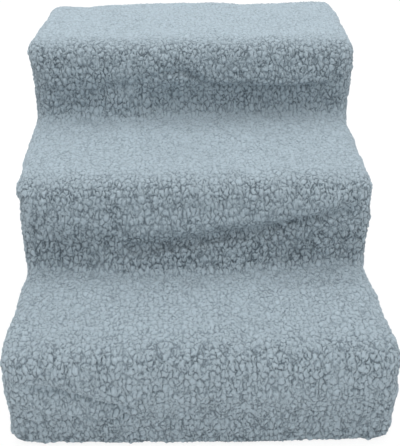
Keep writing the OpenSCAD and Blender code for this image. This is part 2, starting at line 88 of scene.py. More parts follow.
# Places that repeat the CAD source's sizes
NOSE_RADIUS = 6 * MM
BACK_RADIUS = 24 * MM
CREASE_RADIUS = 12 * MM
RISER_LEAN = 3.6 * MM
HEM_DRAW = 7 * MM
HEM_GAP = 0.08 * MM
PAD_DROP = 14 * MM
LAYER_GAP = 0.3 * MM
PAD_THICK = 7 * MM
LINING_THICK = 0.7 * MM

# Sizes that the fleece's panels share
SEAM_REACH = 1.8 * MM
LOFT_LENGTHS = ((75 * MM, 1, 11), (30 * MM, 0.5, 12))
TOP_SEAM_SHARE = 0.6
HANGING_PILE = 0.9
SIDE_PILE = 0.8


# Sizes and colours that a user would change


class CoverShape(bpy.types.PropertyGroup):
    """Sizes of the slipcover."""

    corner_radius: FloatProperty(
        name="Corner radius", description="Radius of the long panel where it turns down to the sides",
        default=16 * MM, min=0.012, max=0.022, unit="LENGTH", precision=4)
    mesh_pitch: FloatProperty(
        name="Pile pitch", description="Distance between two points of the pile's mesh",
        default=1.3 * MM, min=0.001, max=0.004, unit="LENGTH", precision=4)
    lining_pitch: FloatProperty(
        name="Backing pitch", description="Distance between two points of the backing's mesh",
        default=6 * MM, min=0.003, max=0.012, unit="LENGTH", precision=4)
    open_sag: FloatProperty(
        name="Riser sag", description="How far the middle of an open riser hangs in",
        default=5.5 * MM, min=0, max=0.008, unit="LENGTH", precision=4)
    front_sag: FloatProperty(
        name="Front sag", description="How far the front riser hangs in",
        default=1.6 * MM, min=0, max=0.004, unit="LENGTH", precision=4)
    seam_tuck: FloatProperty(
        name="Seam tuck", description="How deep a seam draws both panels in",
        default=2 * MM, min=0, max=0.004, unit="LENGTH", precision=4)
    least_thick: FloatProperty(
        name="Least thickness", description="How far the outside keeps from a deck's front edge in a fold",
        default=3.4 * MM, min=0.002, max=0.009, unit="LENGTH", precision=4)
    fold_droop: FloatProperty(
        name="Fold droop", description="How far the lip over a fold hangs down, as a share of how far out",
        default=1.2, min=0, max=1.5, subtype="FACTOR")
    softness: FloatProperty(
        name="Softness", description="How far the padding rounds off the noses of the steps",
        default=11 * MM, min=0.001, max=0.015, unit="LENGTH", precision=4)
    crease_radius: FloatProperty(
        name="Crease radius", description="Radius of the fleece where a riser meets the tread before it",
        default=5 * MM, min=0.003, max=0.012, unit="LENGTH", precision=4)
    wave_height: FloatProperty(
        name="Loft unevenness", description="Height of the broad swells in the padding",
        default=0.9 * MM, min=0, max=0.003, unit="LENGTH", precision=4)


class PileShape(bpy.types.PropertyGroup):
    """Sizes and colours of the curled pile, with the colour of the painted shade between its nubs."""

    nub_size: FloatProperty(
        name="Nub size", description="Usual distance between two nubs of the pile",
        default=6.4 * MM, min=0.003, max=0.015, unit="LENGTH", precision=4)
    nub_depth: FloatProperty(
        name="Nub depth", description="How deep the gaps between the nubs are",
        default=3.7 * MM, min=0, max=0.005, unit="LENGTH", precision=4)
    swirl: FloatProperty(
        name="Swirl", description="How much the nubs curl, as a share of their size",
        default=0.62, min=0, max=2, subtype="FACTOR")
    seed: IntProperty(name="Seed", description="Which arrangement of nubs", default=7, min=0)
    tip_colour: FloatVectorProperty(
        name="Tip colour", description="Colour of the pile's tips",
        default=(0.425, 0.515, 0.575), min=0, max=1, subtype="COLOR")
    # Painted shade: a dark colour put in the gaps between the nubs, standing in for the shade that falls in
    # them.
    gap_shade_colour: FloatVectorProperty(
        name="Painted gap shade", description="Colour between the nubs",
        default=(0.085, 0.115, 0.137), min=0, max=1, subtype="COLOR")
    backing_colour: FloatVectorProperty(
        name="Backing colour", description="Colour of the knitted backing",
        default=(0.46, 0.53, 0.585), min=0, max=1, subtype="COLOR")


class FrameColours(bpy.types.PropertyGroup):
    """Colours of the frame and of what the cover hides."""

    plastic: FloatVectorProperty(
        name="Frame plastic", description="Colour of the moulded frame",
        default=(0.60, 0.585, 0.56), min=0, max=1, subtype="COLOR")
    fastener: FloatVectorProperty(
        name="Fastener plastic", description="Colour of the rivets and link keys",
        default=(0.78, 0.775, 0.76), min=0, max=1, subtype="COLOR")
    rubber: FloatVectorProperty(
        name="Foot rubber", description="Colour of the feet",
        default=(0.035, 0.036, 0.038), min=0, max=1, subtype="COLOR")
    foam: FloatVectorProperty(
        name="Foam", description="Colour of the tread pads",
        default=(0.80, 0.76, 0.64), min=0, max=1, subtype="COLOR")
    lining: FloatVectorProperty(
        name="Lining", description="Colour of the pads' lining",
        default=(0.24, 0.28, 0.32), min=0, max=1, subtype="COLOR")
    elastic: FloatVectorProperty(
        name="Elastic", description="Colour of the hem elastic",
        default=(0.82, 0.82, 0.80), min=0, max=1, subtype="COLOR")


class StudioSetup(bpy.types.PropertyGroup):
    """The camera, the lamps and the room's light."""

    camera_place: FloatVectorProperty(
        name="Camera", description="Where the camera stands",
        default=(-0.0218, -1.0923, 0.6955), subtype="TRANSLATION", unit="LENGTH")
    camera_turn: FloatProperty(
        name="Turn", description="How far the camera looks to the right of straight ahead",
        default=math.radians(1.516), subtype="ANGLE")
    camera_tilt: FloatProperty(
        name="Tilt", description="How far the camera looks down",
        default=math.radians(28.15), subtype="ANGLE")
    camera_lens: FloatProperty(
        name="Lens", description="Focal length, in millimetres, on the frame's long side",
        default=78.64, min=20, max=200)
    key_power: FloatProperty(
        name="Overhead lamp", description="Power of the soft lamp over the stairs",
        default=8.2, min=0, unit="POWER")
    fill_power: FloatProperty(
        name="Front lamp", description="Power of the soft lamp before the stairs",
        default=1.12, min=0, unit="POWER")
    room_light: FloatProperty(
        name="Room light", description="Strength of the light from all round", default=0.88, min=0)


# Node trees


class Wire:
    """One socket of a node tree. Sums written with wires add the Math nodes that work them out."""

    def __init__(self, tree, socket):
        self.tree, self.socket = tree, socket

    def sum(self, operation, *values):
        return self.tree.add("ShaderNodeMath", {"operation": operation}, dict(enumerate(values)))

    def __add__(self, other):
        return self.sum("ADD", self, other)

    __radd__ = __add__

    def __mul__(self, other):
        return self.sum("MULTIPLY", self, other)

    __rmul__ = __mul__

    def __sub__(self, other):
        return self.sum("SUBTRACT", self, other)

    def __rsub__(self, other):
        return self.sum("SUBTRACT", other, self)

    def __truediv__(self, other):
        return self.sum("DIVIDE", self, other)

    def __rtruediv__(self, other):
        return self.sum("DIVIDE", other, self)

    def __pow__(self, other):
        return self.sum("POWER", self, other)

    def least(self, other):
        return self.sum("MINIMUM", self, other)

    def most(self, other):
        return self.sum("MAXIMUM", self, other)

    def sine(self):
        return self.sum("SINE", self)

    def __abs__(self):
        return self.sum("ABSOLUTE", self)


class Tree:
    """A node tree that is built from the source to the output."""

    def __init__(self, tree):
        self.tree = tree

    def add(self, kind, settings=None, inputs=None, output=0):
        """Adds a node, sets it up, fills or links its sockets, and gives back a wire from one output."""
        node = self.tree.nodes.new(kind)
        for key, value in (settings or {}).items():
            setattr(node, key, value)
        for key, value in (inputs or {}).items():
            socket = node.inputs[key]
            if isinstance(value, Wire):
                self.tree.links.new(value.socket, socket)
            elif value is not None:
                socket.default_value = value
        return Wire(self, node.outputs[output]) if node.outputs else node

    def mix(self, share, one, two):
        """One colour turning into another."""
        one, two = (c if isinstance(c, Wire) else (*c, 1)[:4] for c in (one, two))
        return self.add("ShaderNodeMix", {"data_type": "RGBA"}, {0: share, 6: one, 7: two}, 2)

    def vector(self, operation, one, two):
        return self.add("ShaderNodeVectorMath", {"operation": operation}, {0: one, 1: two})

    def scale(self, vector, factor):
        return self.add("ShaderNodeVectorMath", {"operation": "SCALE"}, {0: vector, "Scale": factor})

    def noise(self, place, scale, detail=2.0, rough=0.5, output="Fac"):
        return self.add(
            "ShaderNodeTexNoise", {"noise_dimensions": "3D"},
            {"Vector": place, "Scale": scale, "Detail": detail, "Roughness": rough}, output)

    def cells(self, place, scale, feature="DISTANCE_TO_EDGE", output="Distance", loose=0.8):
        return self.add(
            "ShaderNodeTexVoronoi", {"feature": feature, "voronoi_dimensions": "3D"},
            {"Vector": place, "Scale": scale, "Randomness": loose}, output)

    def ramp(self, value, low, high, to_low=0.0, to_high=1.0, curve="SMOOTHSTEP"):
        """A value on its way from low to high, turned into the way from one number to another."""
        return self.add(
            "ShaderNodeMapRange", {"interpolation_type": curve},
            {"Value": value, "From Min": low, "From Max": high, "To Min": to_low, "To Max": to_high},
            "Result")


class Finish(Tree):
    """A material: one Principled shader, whose even values are set on its own sockets."""

    def __init__(self, name, **even):
        self.material = bpy.data.materials.new(name)
        self.material.use_nodes = True
        super().__init__(self.material.node_tree)
        self.tree.nodes.clear()
        self.shader = self.tree.nodes.new("ShaderNodeBsdfPrincipled")
        self.out = self.tree.nodes.new("ShaderNodeOutputMaterial")
        self.tree.links.new(self.shader.outputs[0], self.out.inputs[0])
        for key, value in even.items():
            self.shader.inputs[self.label(key)].default_value = value

    @staticmethod
    def label(key):
        return key.replace("_", " ").title().replace("Ior", "IOR")

    def place(self):
        return self.add("ShaderNodeTexCoord", output="Object")

    def read(self, name):
        return self.add("ShaderNodeAttribute", {"attribute_name": name}, output="Fac")

    def bump(self, height, depth, strength=1.0, normal=None):
        return self.add(
            "ShaderNodeBump", {},
            {"Height": height, "Distance": depth, "Strength": strength, "Normal": normal}, "Normal")

    def wire(self, **sockets):
        """Links what changes over the surface, and gives back the finished material."""
        for key, wire in sockets.items():
            self.tree.links.new(wire.socket, self.shader.inputs[self.label(key)])
        return self.material


def settings():
    return bpy.context.scene.pet_stairs_cover, bpy.context.scene.pet_stairs_pile


def colours():
    return bpy.context.scene.pet_stairs_colours


def darker(colour, share):
    return tuple(share * part for part in colour)


# Finishes


def strands(tree, start, scale):
    """Rounded strands of pile, with a narrow gap wherever a noise crosses its middle."""
    from_middle = abs(tree.noise(start, scale, 0.0) - 0.5)
    return tree.ramp(from_middle, 0.0, 0.18, curve="LINEAR") ** 0.7


def fleece_curls(tree, start, swirl):
    """How high the curls stand at places measured in nubs, from 0 in a gap to 1, for shader and shape."""
    for scale, share in ((0.8, 1.5), (2.4, 0.8)):
        bend = tree.vector("SUBTRACT", tree.noise(start, scale, 1.0, output="Color"), (0.5, 0.5, 0.5))
        start = tree.vector("ADD", start, tree.scale(bend, swirl * share))
    nub = 1 - (1 - (tree.cells(start, 0.95) / 0.42).least(1)) ** 1.7
    wide, narrow = (strands(tree, start, scale) for scale in (1.25, 2.9))
    clump = tree.ramp(tree.cells(start, 0.42), 0.0, 0.13)
    return (nub * 0.54 + wide * 0.27 + narrow * 0.19) * (clump * 0.35 + 0.65)


def fleece_finish():
    """Curled fleece, pale at the tips of its nubs and darker between them with painted shade, over a knitted
    backing.
    """
    pile = settings()[1]
    fleece = Finish("curled_fleece", roughness=0.95, sheen_weight=0.25, sheen_roughness=0.45,
                    sheen_tint=(0.86, 0.93, 1.0, 1.0), specular_ior_level=0.2)
    place = fleece.place()
    nap = fleece.read("nap")
    stands = fleece.read("pile")
    is_pile = fleece.ramp(stands, 0.0, 0.35)
    start = fleece.add("ShaderNodeAttribute", {"attribute_name": "nubs"}, output="Vector")
    curls = fleece_curls(fleece, start, pile.swirl)
    fibres = fleece.noise(place, 1500, 3.0, 0.65)
    drift = fleece.noise(place, 22, 3.0, 0.55)
    patches = fleece.ramp(fleece.noise(place, 55, 2.0), 0.32, 0.68, 0.84, 1.22)
    # Painted shade: the gaps between the nubs and the low parts of the pile are coloured darker, more so
    # where the pile stands fuller, to stand in for the shade that falls in them.
    gaps = (1 - fleece.ramp(curls, 0.06, 0.68)) ** (1.85 - stands * 0.85) * patches
    painted_shade = gaps + (0.8 - nap) * 0.12 + (fibres - 0.5) * 0.5
    lit = (1 - painted_shade * stands).least(1).most(0)
    shade = fleece.mix(lit, pile.gap_shade_colour, pile.tip_colour)
    worn = fleece.mix(fleece.ramp(drift, 0.3, 0.7, 0.0, 0.12), shade, darker(pile.tip_colour, 0.75))
    course_height = 1.6 * MM
    up = fleece.add("ShaderNodeSeparateXYZ", {}, {0: place}, "Z")
    courses = (up * (2 * math.pi / course_height)).sine()
    knit = fleece.mix(
        fleece.ramp(courses, -1, 1, 0.0, 0.35), pile.backing_colour, darker(pile.backing_colour, 0.6))
    height = stands * (curls + fibres * 0.2) + (1 - is_pile) * courses * 0.12
    return fleece.wire(
        base_color=fleece.mix(is_pile, knit, worn),
        normal=fleece.bump(height, 3 * MM, 1.0),
    )


def knit_finish(name, colour, pitch, rib=False):
    """A fine knit or a woven band: courses and wales at their real pitch."""
    knit = Finish(name, roughness=0.85, sheen_weight=0.15, sheen_roughness=0.5, specular_ior_level=0.3)
    place = knit.place()
    x, y, z = (knit.add("ShaderNodeSeparateXYZ", {}, {0: place}, axis) for axis in "XYZ")
    turn = 2 * math.pi / pitch
    if rib:
        wales, courses = (x + y) * turn, z * (turn * 0.35)
    else:
        wales, courses = x * turn, (y + z) * (turn * 0.7)
    loops = wales.sine() * 0.5 + courses.sine() * 0.5
    shade = knit.ramp(loops + (knit.noise(place, 700, 2.0) - 0.5) * 0.8, -1, 1, 0.0, 1.0)
    return knit.wire(
        base_color=knit.mix(shade, darker(colour, 0.55), colour),
        normal=knit.bump(loops, 0.12 * MM, 0.9),
    )


def foam_finish():
    """Open-cell foam: fine pores of two sizes, a little yellowed in patches."""
    foam = Finish("pad_foam", roughness=0.95, specular_ior_level=0.15)
    place = foam.place()
    pores = foam.cells(place, 900)
    large = foam.cells(place, 320)
    depth = foam.ramp(pores, 0.0, 0.35) * 0.6 + foam.ramp(large, 0.0, 0.2) * 0.4
    patch = foam.noise(place, 14, 3.0)
    yellowed = (0.74, 0.66, 0.47)
    base = foam.mix(foam.ramp(patch, 0.35, 0.7, 0.0, 0.35), colours().foam, yellowed)
    return foam.wire(
        base_color=foam.mix(depth, darker(colours().foam, 0.5), base),
        normal=foam.bump(depth, 0.35 * MM, 0.8),
    )


def moulded_finish(name, colour, gloss, grain=0.05 * MM):
    """Moulded plastic: a fine satin grain, flow marks from the mould and dull scuffs."""
    plastic = Finish(name, coat_weight=0.0, specular_ior_level=0.45)
    place = plastic.place()
    grains = plastic.noise(place, 2400, 2.0, 0.6)
    flow = plastic.noise(plastic.vector("MULTIPLY", place, (14, 40, 14)), 1.0, 3.0, 0.6)
    rubs = plastic.noise(plastic.vector("MULTIPLY", place, (60, 260, 90)), 1.0, 4.0, 0.7)
    scuffs = plastic.ramp(rubs, 0.56, 0.72)
    marks = plastic.ramp(flow, 0.3, 0.75) * 0.5 + scuffs * 0.12
    return plastic.wire(
        base_color=plastic.mix(marks, colour, darker(colour, 0.82)),
        roughness=gloss + grains * 0.1 + scuffs * 0.18,
        normal=plastic.bump(grains, grain, 0.5),
    )


def rubber_finish():
    """Dark moulded rubber with dust in its grain."""
    rubber = Finish("moulded_rubber", specular_ior_level=0.3)
    place = rubber.place()
    grain = rubber.noise(place, 1800, 3.0, 0.65)
    dust = rubber.ramp(rubber.noise(place, 160, 4.0, 0.65), 0.52, 0.78, 0.0, 0.4)
    dust_colour = (0.16, 0.155, 0.15)
    return rubber.wire(
        base_color=rubber.mix(dust, colours().rubber, dust_colour),
        roughness=0.62 + grain * 0.25,
        normal=rubber.bump(grain, 0.12 * MM, 0.7),
    )


# Paths and smooth fields


def run_along(points):
    """How far along a path each of its points lies."""
    return np.concatenate(([0], np.cumsum(np.linalg.norm(np.diff(points, axis=0), axis=1))))


def whole_length(path):
    """The length of a flat path."""
    return np.hypot(*np.diff(path, axis=0).T).sum()


def even(path, pitch):
    """Points spaced evenly along a path, about a pitch apart. Further columns are carried along."""
    run = run_along(path[:, :2])
    keep = np.concatenate(([True], np.diff(run) > 1e-9))
    marks = np.linspace(0, run[-1], max(2, round(run[-1] / pitch) + 1))
    return np.column_stack([np.interp(marks, run[keep], path[keep, k]) for k in range(path.shape[1])])


def unit(vectors):
    return vectors / np.maximum(np.linalg.norm(vectors, axis=-1, keepdims=True), 1e-12)


def smooth_step(value):
    value = np.clip(value, 0, 1)
    return value * value * (3 - 2 * value)


def hump(distance, width, power=2):
    """1 at no distance, fading past a width on both sides."""
    return np.exp(-(distance / width) ** power)


def seam_pull(distance):
    """The share of a seam's pull that is left at a distance from it."""
    return np.exp(-distance / SEAM_REACH)


def swells(points, length, seed, count=9):
    """A smooth uneven field in space, mostly between -1 and 1, the same on every piece that it crosses."""
    draw = np.random.default_rng(seed)
    total = np.zeros(points.shape[:-1])
    for _ in range(count):
        turn = unit(draw.normal(size=3)) * 2 * np.pi / (length * draw.uniform(0.7, 1.5))
        total += np.sin(points @ turn + draw.uniform(0, 2 * np.pi))
    return total / math.sqrt(count)


def loft(points, cover):
    """The broad unevenness of the padding, in metres."""
    waves = (share * swells(points, length, seed) for length, share, seed in LOFT_LENGTHS)
    return cover.wave_height * sum(waves)


# The long panel over the steps

# How far the cover spreads past its nominal half width: [place, left, right], in millimetres. The whole
# places are the hem or a crease, the middle of a riser, of a nose and of a tread, step after step, and the
# rear edge.
SPREAD = (
    (0, 0, 2), (1, -1, 3.5), (1.5, -1.3, 1.2), (2, 1.2, 3), (2.3, 2, 4.3), (3, 1.2, 1.8), (3.75, -3.5, -3.5),
    (4, -3, -3.8), (5, -0.5, -0.5), (5.75, -1.5, -0.8), (6, 2, 0.8), (6.3, 3.3, 2.2), (7, 5.5, 1),
    (7.6, 3.8, -1), (8, 0.5, 1.4), (9, 0, 3), (10, 3.5, 1), (10.35, 7.5, 5.5), (10.7, 4.4, 3),
    (11.3, -3, 5.5), (12, -4, -0.5), (13, 0, 0),
)
# How far each nose stands proud, in millimetres, and over how many places
PROUD = (1.2, 1.8, 2.4)
PROUD_REACH = 0.35
# Where a crease is drawn to: [place, forward, up], in millimetres, and over how many places
CREASE_SHIFTS = ((4, 4, -3), (8, -4, 5))
CREASE_REACH = 0.75
# How far from its middle a nose is rounded by the padding, and how much every other bend is
NOSE_REACH = 42 * MM
BEND_SOFTNESS = 2 * MM
# How far the top tread's rear left corner hangs down, how far left of the middle that starts, and its width
REAR_DROP = 4 * MM
REAR_DROP_START = 70 * MM
REAR_DROP_WIDTH = 80 * MM
# Where the fleece hangs forward at a riser's foot: [step, x, width, forward at the crease, more above it], in
# millimetres, with its reach over the tread and up the riser, and the height and reach of what bulges above
FOOT_ROLLS = ((1, -45, 105, 18, 2), (1, 75, 80, 8, 2), (2, -92, 36, 9, 4), (2, 75, 115, -8, -1))
ROLL_REACHES = (45, 38)
BULGE_HEIGHT, BULGE_REACH = 24, 13
# How far the fleece hangs out below each nose, in millimetres, at which place of its step, and over how many
BELLIES = ((4.5, 1.15), (6, 1.25), (4, 1.35))
BELLY_REACH = 0.36
# How full the pile stands at places of the profile: open on the risers and noses, pressed down on the treads.
# It also sets how deep the painted shade between the nubs is.
PILE_STANDS = (
    (0, 0.9), (1, 0.84), (1.6, 0.83), (2, 0.88), (2.25, 0.8), (2.5, 0.64), (3.7, 0.64), (4, 0.75), (4.4, 1),
    (4.9, 1), (5.4, 0.82), (6, 0.86), (6.25, 0.75), (6.5, 0.52), (7.7, 0.52), (8, 0.7), (8.4, 0.9),
    (9.4, 0.9), (10, 0.9), (10.25, 0.72), (10.5, 0.48), (11.7, 0.45), (12, 0.7), (13, 0.9),
)
# Folds that hang in the risers, in millimetres. Each runs through places [x, z] of the front, draws the
# fleece in by a depth over a width, or pushes it out where the depth is below zero, and lets it hang out
# above by a ridge, over the ridge's own width.
FOLDS = (
    (((-118, 258), (-54, 276), (-35, 285)), 3.0, 8, 1.0, 12),
    (((-35, 285), (-3, 284), (28, 265), (86, 260)), 8.5, 7, 5.0, 10),
    (((86, 260), (163, 262), (182, 270)), 7.5, 7, 5.0, 13),
    (((-96, 237), (-74, 231)), -4.5, 15, 0, 1),
    (((-150, 137), (-112, 139), (-65, 142)), 2.5, 11, 1.5, 18),
    (((-75, 144), (-30, 149), (4, 154), (51, 161)), 11.5, 8.5, 6.8, 13.5),
    (((51, 161), (97, 168), (131, 175), (177, 185)), 12.5, 8.5, 7.0, 13),
    (((138, 144), (158, 140)), -2.8, 11, 0, 1),
    (((104, 128), (122, 125)), 3.0, 9, 0, 1),
    (((-172, 85), (-143, 80), (-118, 71), (-90, 61), (-74, 57)), 8.0, 6, 4.6, 9),
    (((-168, 63), (-135, 56), (-112, 51), (-88, 49)), -5, 6.5, 0, 1),
    (((-126, 42), (-96, 40), (-78, 41)), 4.0, 4.5, 0, 1),
    (((-152, 122), (-144, 102)), 1.8, 8, 0, 1),
    (((136, 66), (165, 58), (188, 40)), 2.4, 8, 1.2, 12),
)
# How far a ridge lies above its fold, as a share of the ridge's width, and the share of the distance that
# counts above a fold, where the pull in fades more slowly than below it
RIDGE_LIFT_SHARE = 1.05
UPPER_SLOPE_SHARE = 0.55


def stepped_profile(pitch, cover=None):
    """The cover from its hem at the front, over every nose, tread and crease, to its top rear edge.

    A row is [y, z, place], where place counts on by one from the hem to the middle of a riser, of a nose, of
    a tread and of a crease, and so on. With the cover's shape, its tight creases and full noses are put in.
    """
    rows = []
    creases = (cover.crease_radius if cover else CREASE_RADIUS, CREASE_RADIUS)
    foot_out = [COVER_OUT - HEM_DRAW] + 2 * [COVER_OUT - RISER_LEAN]
    foot_z = [HEM_HIGH[2] + HEM_GAP] + [top + COVER_OUT + CREASE_RADIUS for top in TOPS[:2]]
    foot_z[1:] = [z - CREASE_RADIUS + crease for z, crease in zip(foot_z[1:], creases)]

    def arc(centre, radius, start, end, place):
        for share in np.linspace(0, 1, 90):
            turn = math.radians(start + (end - start) * share)
            rows.append([centre[0] + radius * math.cos(turn), centre[1] + radius * math.sin(turn),
                         place - 0.3 + 0.6 * share])

    for i, (front, top) in enumerate(zip(FRONTS, TOPS)):
        lip = top - PAD_DROP - LAYER_GAP
        crease = creases[min(i, 1)]
        start = 4 * i + (0.3 if i else 0)
        for up in np.linspace(0, 1, 120):
            rows.append([front - COVER_OUT + (COVER_OUT - foot_out[i]) * (1 - up),
                         foot_z[i] + (lip - foot_z[i]) * up, start + (4 * i + 1.6 - start) * up])
        nose_y = front + NOSE_RADIUS
        arc((nose_y, top - NOSE_RADIUS), NOSE_RADIUS + COVER_OUT, 180, 90, 4 * i + 2)
        last = i == 2
        end_y = STEPS_HIGH[1] - BACK_RADIUS if last else FRONTS[i + 1] - foot_out[i + 1] - crease
        for share in np.linspace(0, 1, 80)[1:-1]:
            rows.append([nose_y + (end_y - front - NOSE_RADIUS) * share, top + COVER_OUT,
                         4 * i + 2.3 + 1.4 * share])
        if last:
            arc((end_y, top + COVER_OUT - BACK_RADIUS), BACK_RADIUS, 90, 0, 4 * i + 4)
        else:
            arc((end_y, top + COVER_OUT + crease), crease, 270, 360, 4 * i + 4)
    rows = even(np.array(rows), pitch)
    return padded_profile(rows, cover, pitch) if cover else rows


def padded_profile(rows, cover, pitch):
    """A stepped profile with its creases drawn to their places and its noses rounded by the padding."""
    for place, forward, up in CREASE_SHIFTS:
        rows[:, :2] += np.outer(hump(rows[:, 2] - place, CREASE_REACH), (-forward * MM, up * MM))
    rows = even(rows, pitch)
    run = np.arange(len(rows)) * pitch
    noses = [run[np.argmin(np.abs(rows[:, 2] - 4 * i - 2))] for i in range(3)]
    at_noses = sum(hump(run - nose, NOSE_REACH, 4) for nose in noses)[:, None]
    for softness, share in ((BEND_SOFTNESS, 1), (cover.softness, at_noses)):
        smooth = np.column_stack([blurred(rows[:, k], softness / pitch) for k in (0, 1)])
        rows[:, :2] += (smooth - rows[:, :2]) * share
    return even(rows, pitch)


def blurred(line, spread):
    """A run of values smoothed over its neighbours, with its ends kept."""
    reach = math.ceil(3 * spread)
    weights = np.exp(-0.5 * (np.arange(-reach, reach + 1) / spread) ** 2)
    ends = (2 * line[0] - line[reach:0:-1], line, 2 * line[-1] - line[-2:-reach - 2:-1])
    return np.convolve(np.concatenate(ends), weights / weights.sum(), "valid")


def spread_at(place):
    """How far the cover spreads on the left and on the right at places of its profile, in metres."""
    places, left, right = np.array(SPREAD).T
    return [np.interp(place, places, side) * MM for side in (left, right)]


def pile_stands(place):
    """How full the pile stands at places of the profile."""
    return np.interp(place, *np.array(PILE_STANDS).T)


def riser_parts(place):
    """For places of the profile: the step, how open the riser is from 0 to 1, and the share of its sag.

    A riser is open from its crease to mid-nose, less so near both, and the front one from the hem.
    """
    step = np.clip(np.floor((place + 0.4) / 4), 0, 2).astype(int)
    here = place - 4 * step
    is_open = smooth_step((here + 0.2) / 0.4) * smooth_step((2.15 - here) / 0.5)
    is_open = np.where(step == 0, smooth_step((2.15 - here) / 0.5), is_open)
    reach = np.sin(np.pi * np.clip((1.65 - here) / 1.5, 0, 1) ** 1.5) ** 0.9
    return step, is_open * (here < 2.3), reach


def rear_profile(pitch):
    """The back panel from under the top rear edge down to the hem, in rows like the stepped profile's."""
    top, foot = BACK_HIGH[2], HEM_HIGH[2] + HEM_GAP
    return even(np.array([[BACK_HIGH[1], top, 12.3], [BACK_HIGH[1], foot, 13]]), pitch)


def line_pull(x, z, line, height, width):
    """How far a fold's line pulls at places of the front: by a height on it, fading over a width."""
    square = np.full(x.shape, np.inf)
    for start, end in zip(line[:-1], line[1:]):
        run = end - start
        share = np.clip(((x - start[0]) * run[0] + (z - start[1]) * run[1]) / (run @ run), 0, 1)
        dx = x - start[0] - share * run[0]
        dz = z - start[1] - share * run[1]
        if height > 0:
            dz = np.where(dz > 0, UPPER_SLOPE_SHARE * dz, dz)
        square = np.minimum(square, dx * dx + dz * dz)
    return height * np.exp(-square / width ** 2)


def folds_at(x, z):
    """How far the folds draw the fleece in, and let it hang out, at places of the front, in metres."""
    furrows, ridges = np.zeros_like(x), np.zeros_like(x)
    for line, depth, width, ridge, ridge_width in FOLDS:
        line = np.array(line) * MM
        lift = RIDGE_LIFT_SHARE * ridge_width * MM
        pulls = [line_pull(x, z, line, depth * MM, width * MM)]
        if ridge:
            pulls.append(line_pull(x, z - lift, line, -ridge * MM, ridge_width * MM))
        furrows = np.maximum.reduce([furrows, *pulls])
        ridges = np.minimum.reduce([ridges, *pulls])
    return furrows, ridges


def grid_normals(points):
    """Unit normals of a grid of points, outwards where rows run up and columns run to the right."""
    along = np.gradient(points, axis=0)
    across = np.gradient(points, axis=1)
    return unit(np.cross(across, along))


def path_normals(rows):
    """Unit normals of a profile, outwards."""
    run = unit(np.gradient(rows[:, :2], axis=0))
    return np.column_stack([-run[:, 1], run[:, 0]])


def off_path(rows, x, depth):
    """Points at places across a panel, each at its depth behind the profile."""
    normal = path_normals(rows)
    return np.stack([x, rows[:, :1] - normal[:, :1] * depth, rows[:, 1:2] - normal[:, 1:] * depth], -1)


def columns_across(flat, radius, pitch):
    """Places across a panel, left to right: the share of its flat half, and the angle round its corner."""
    inner = np.linspace(0, 1, max(2, round(flat / pitch)) + 1)
    corner_count = max(3, round(radius * math.pi / 2 / pitch))
    corner = np.linspace(0, math.pi / 2, corner_count + 1)[1:]
    at_edge = np.ones(corner_count)
    share = np.concatenate([-at_edge, -inner[:0:-1], inner, at_edge])
    turn = np.concatenate([-corner[::-1], np.zeros(2 * len(inner) - 1), corner])
    return share, turn


def hang_at_feet(points, rows, pitch):
    """Lets the fleece hang forward, or tucks it in, where a riser meets the tread before it."""
    x = points[..., 0] / MM
    for step, middle, width, forward, bulge in FOOT_ROLLS:
        to_foot = np.abs(rows[:, 2] - 4 * step)
        if to_foot.min() < 0.5:
            past = (np.arange(len(rows)) - to_foot.argmin())[:, None] * pitch / MM
            out = forward * hump(past, np.where(past < 0, *ROLL_REACHES))
            out += bulge * hump(past - BULGE_HEIGHT, BULGE_REACH)
            points[..., 1] -= hump(x - middle, width) * out * MM


def hang_at_rear(points, rows):
    """Lets the top tread's rear left corner hang down."""
    to_left = smooth_step((-points[..., 0] - REAR_DROP_START) / REAR_DROP_WIDTH)
    to_rear = smooth_step((rows[:, 2:3] - 11) / 0.8)
    points[..., 2] -= REAR_DROP * to_left * to_rear


def riser_sag(cover, rows):
    """For rows of the profile: their step, how open the riser is there, and how far it sags."""
    step, is_open, reach = riser_parts(rows[:, 2])
    return step, is_open, np.where(step == 0, cover.front_sag, cover.open_sag) * reach


def panel_outside(rows, cover, pitch):
    """The outside of a panel that runs up the stairs and turns down at both sides."""
    radius = cover.corner_radius
    share, turn = columns_across(HALF_WIDTH - radius, radius, pitch)
    left, right = spread_at(rows[:, 2])
    half = HALF_WIDTH + np.where(share < 0, left[:, None], right[:, None])
    x = (half - radius) * share + radius * np.sin(turn)
    depth = radius * (1 - np.cos(turn)) * np.ones_like(half)
    points = off_path(rows, x, depth)
    hang_at_feet(points, rows, pitch)
    hang_at_rear(points, rows)
    normals = grid_normals(points)
    across = np.clip(np.abs(x) / (HALF_WIDTH - radius), 0, 1)
    step, is_open, sag = riser_sag(cover, rows)
    is_open = is_open[:, None]
    furrows, ridges = (pull * is_open * (1 - 0.6 * across ** 8) for pull in folds_at(x, points[..., 2]))
    sink = sag[:, None] * (1 - across ** 4) + (furrows + ridges)
    in_step = rows[:, 2] - 4 * np.arange(3)[:, None]
    nose = sum(proud * MM * hump(at - 2, PROUD_REACH) for proud, at in zip(PROUD, in_step))
    belly = sum(out * MM * hump(at - place, BELLY_REACH) for (out, place), at in zip(BELLIES, in_step))
    offset = nose[:, None] + belly[:, None] * (1 - 0.7 * across ** 6) - sink
    offset += loft(points, cover)
    offset -= cover.seam_tuck * seam_pull(radius * (math.pi / 2 - np.abs(turn)))
    points += normals * offset[..., None]
    points[..., 2] += cover.fold_droop * ridges
    limit = np.array(FRONTS)[step][:, None] - cover.least_thick
    past_limit = np.clip((points[..., 1] - limit) / MM, -30, 30)
    points[..., 1] -= MM * np.log1p(np.exp(past_limit)) * is_open * (across < 1)
    return points


def groove(grid, first, last, pitch):
    """Draws the first and last rows of a panel in, as a seam does."""
    distance = np.arange(len(grid)) * pitch
    draw = first * seam_pull(distance) + last * seam_pull(distance[::-1])
    return grid - grid_normals(grid) * draw[:, None, None]


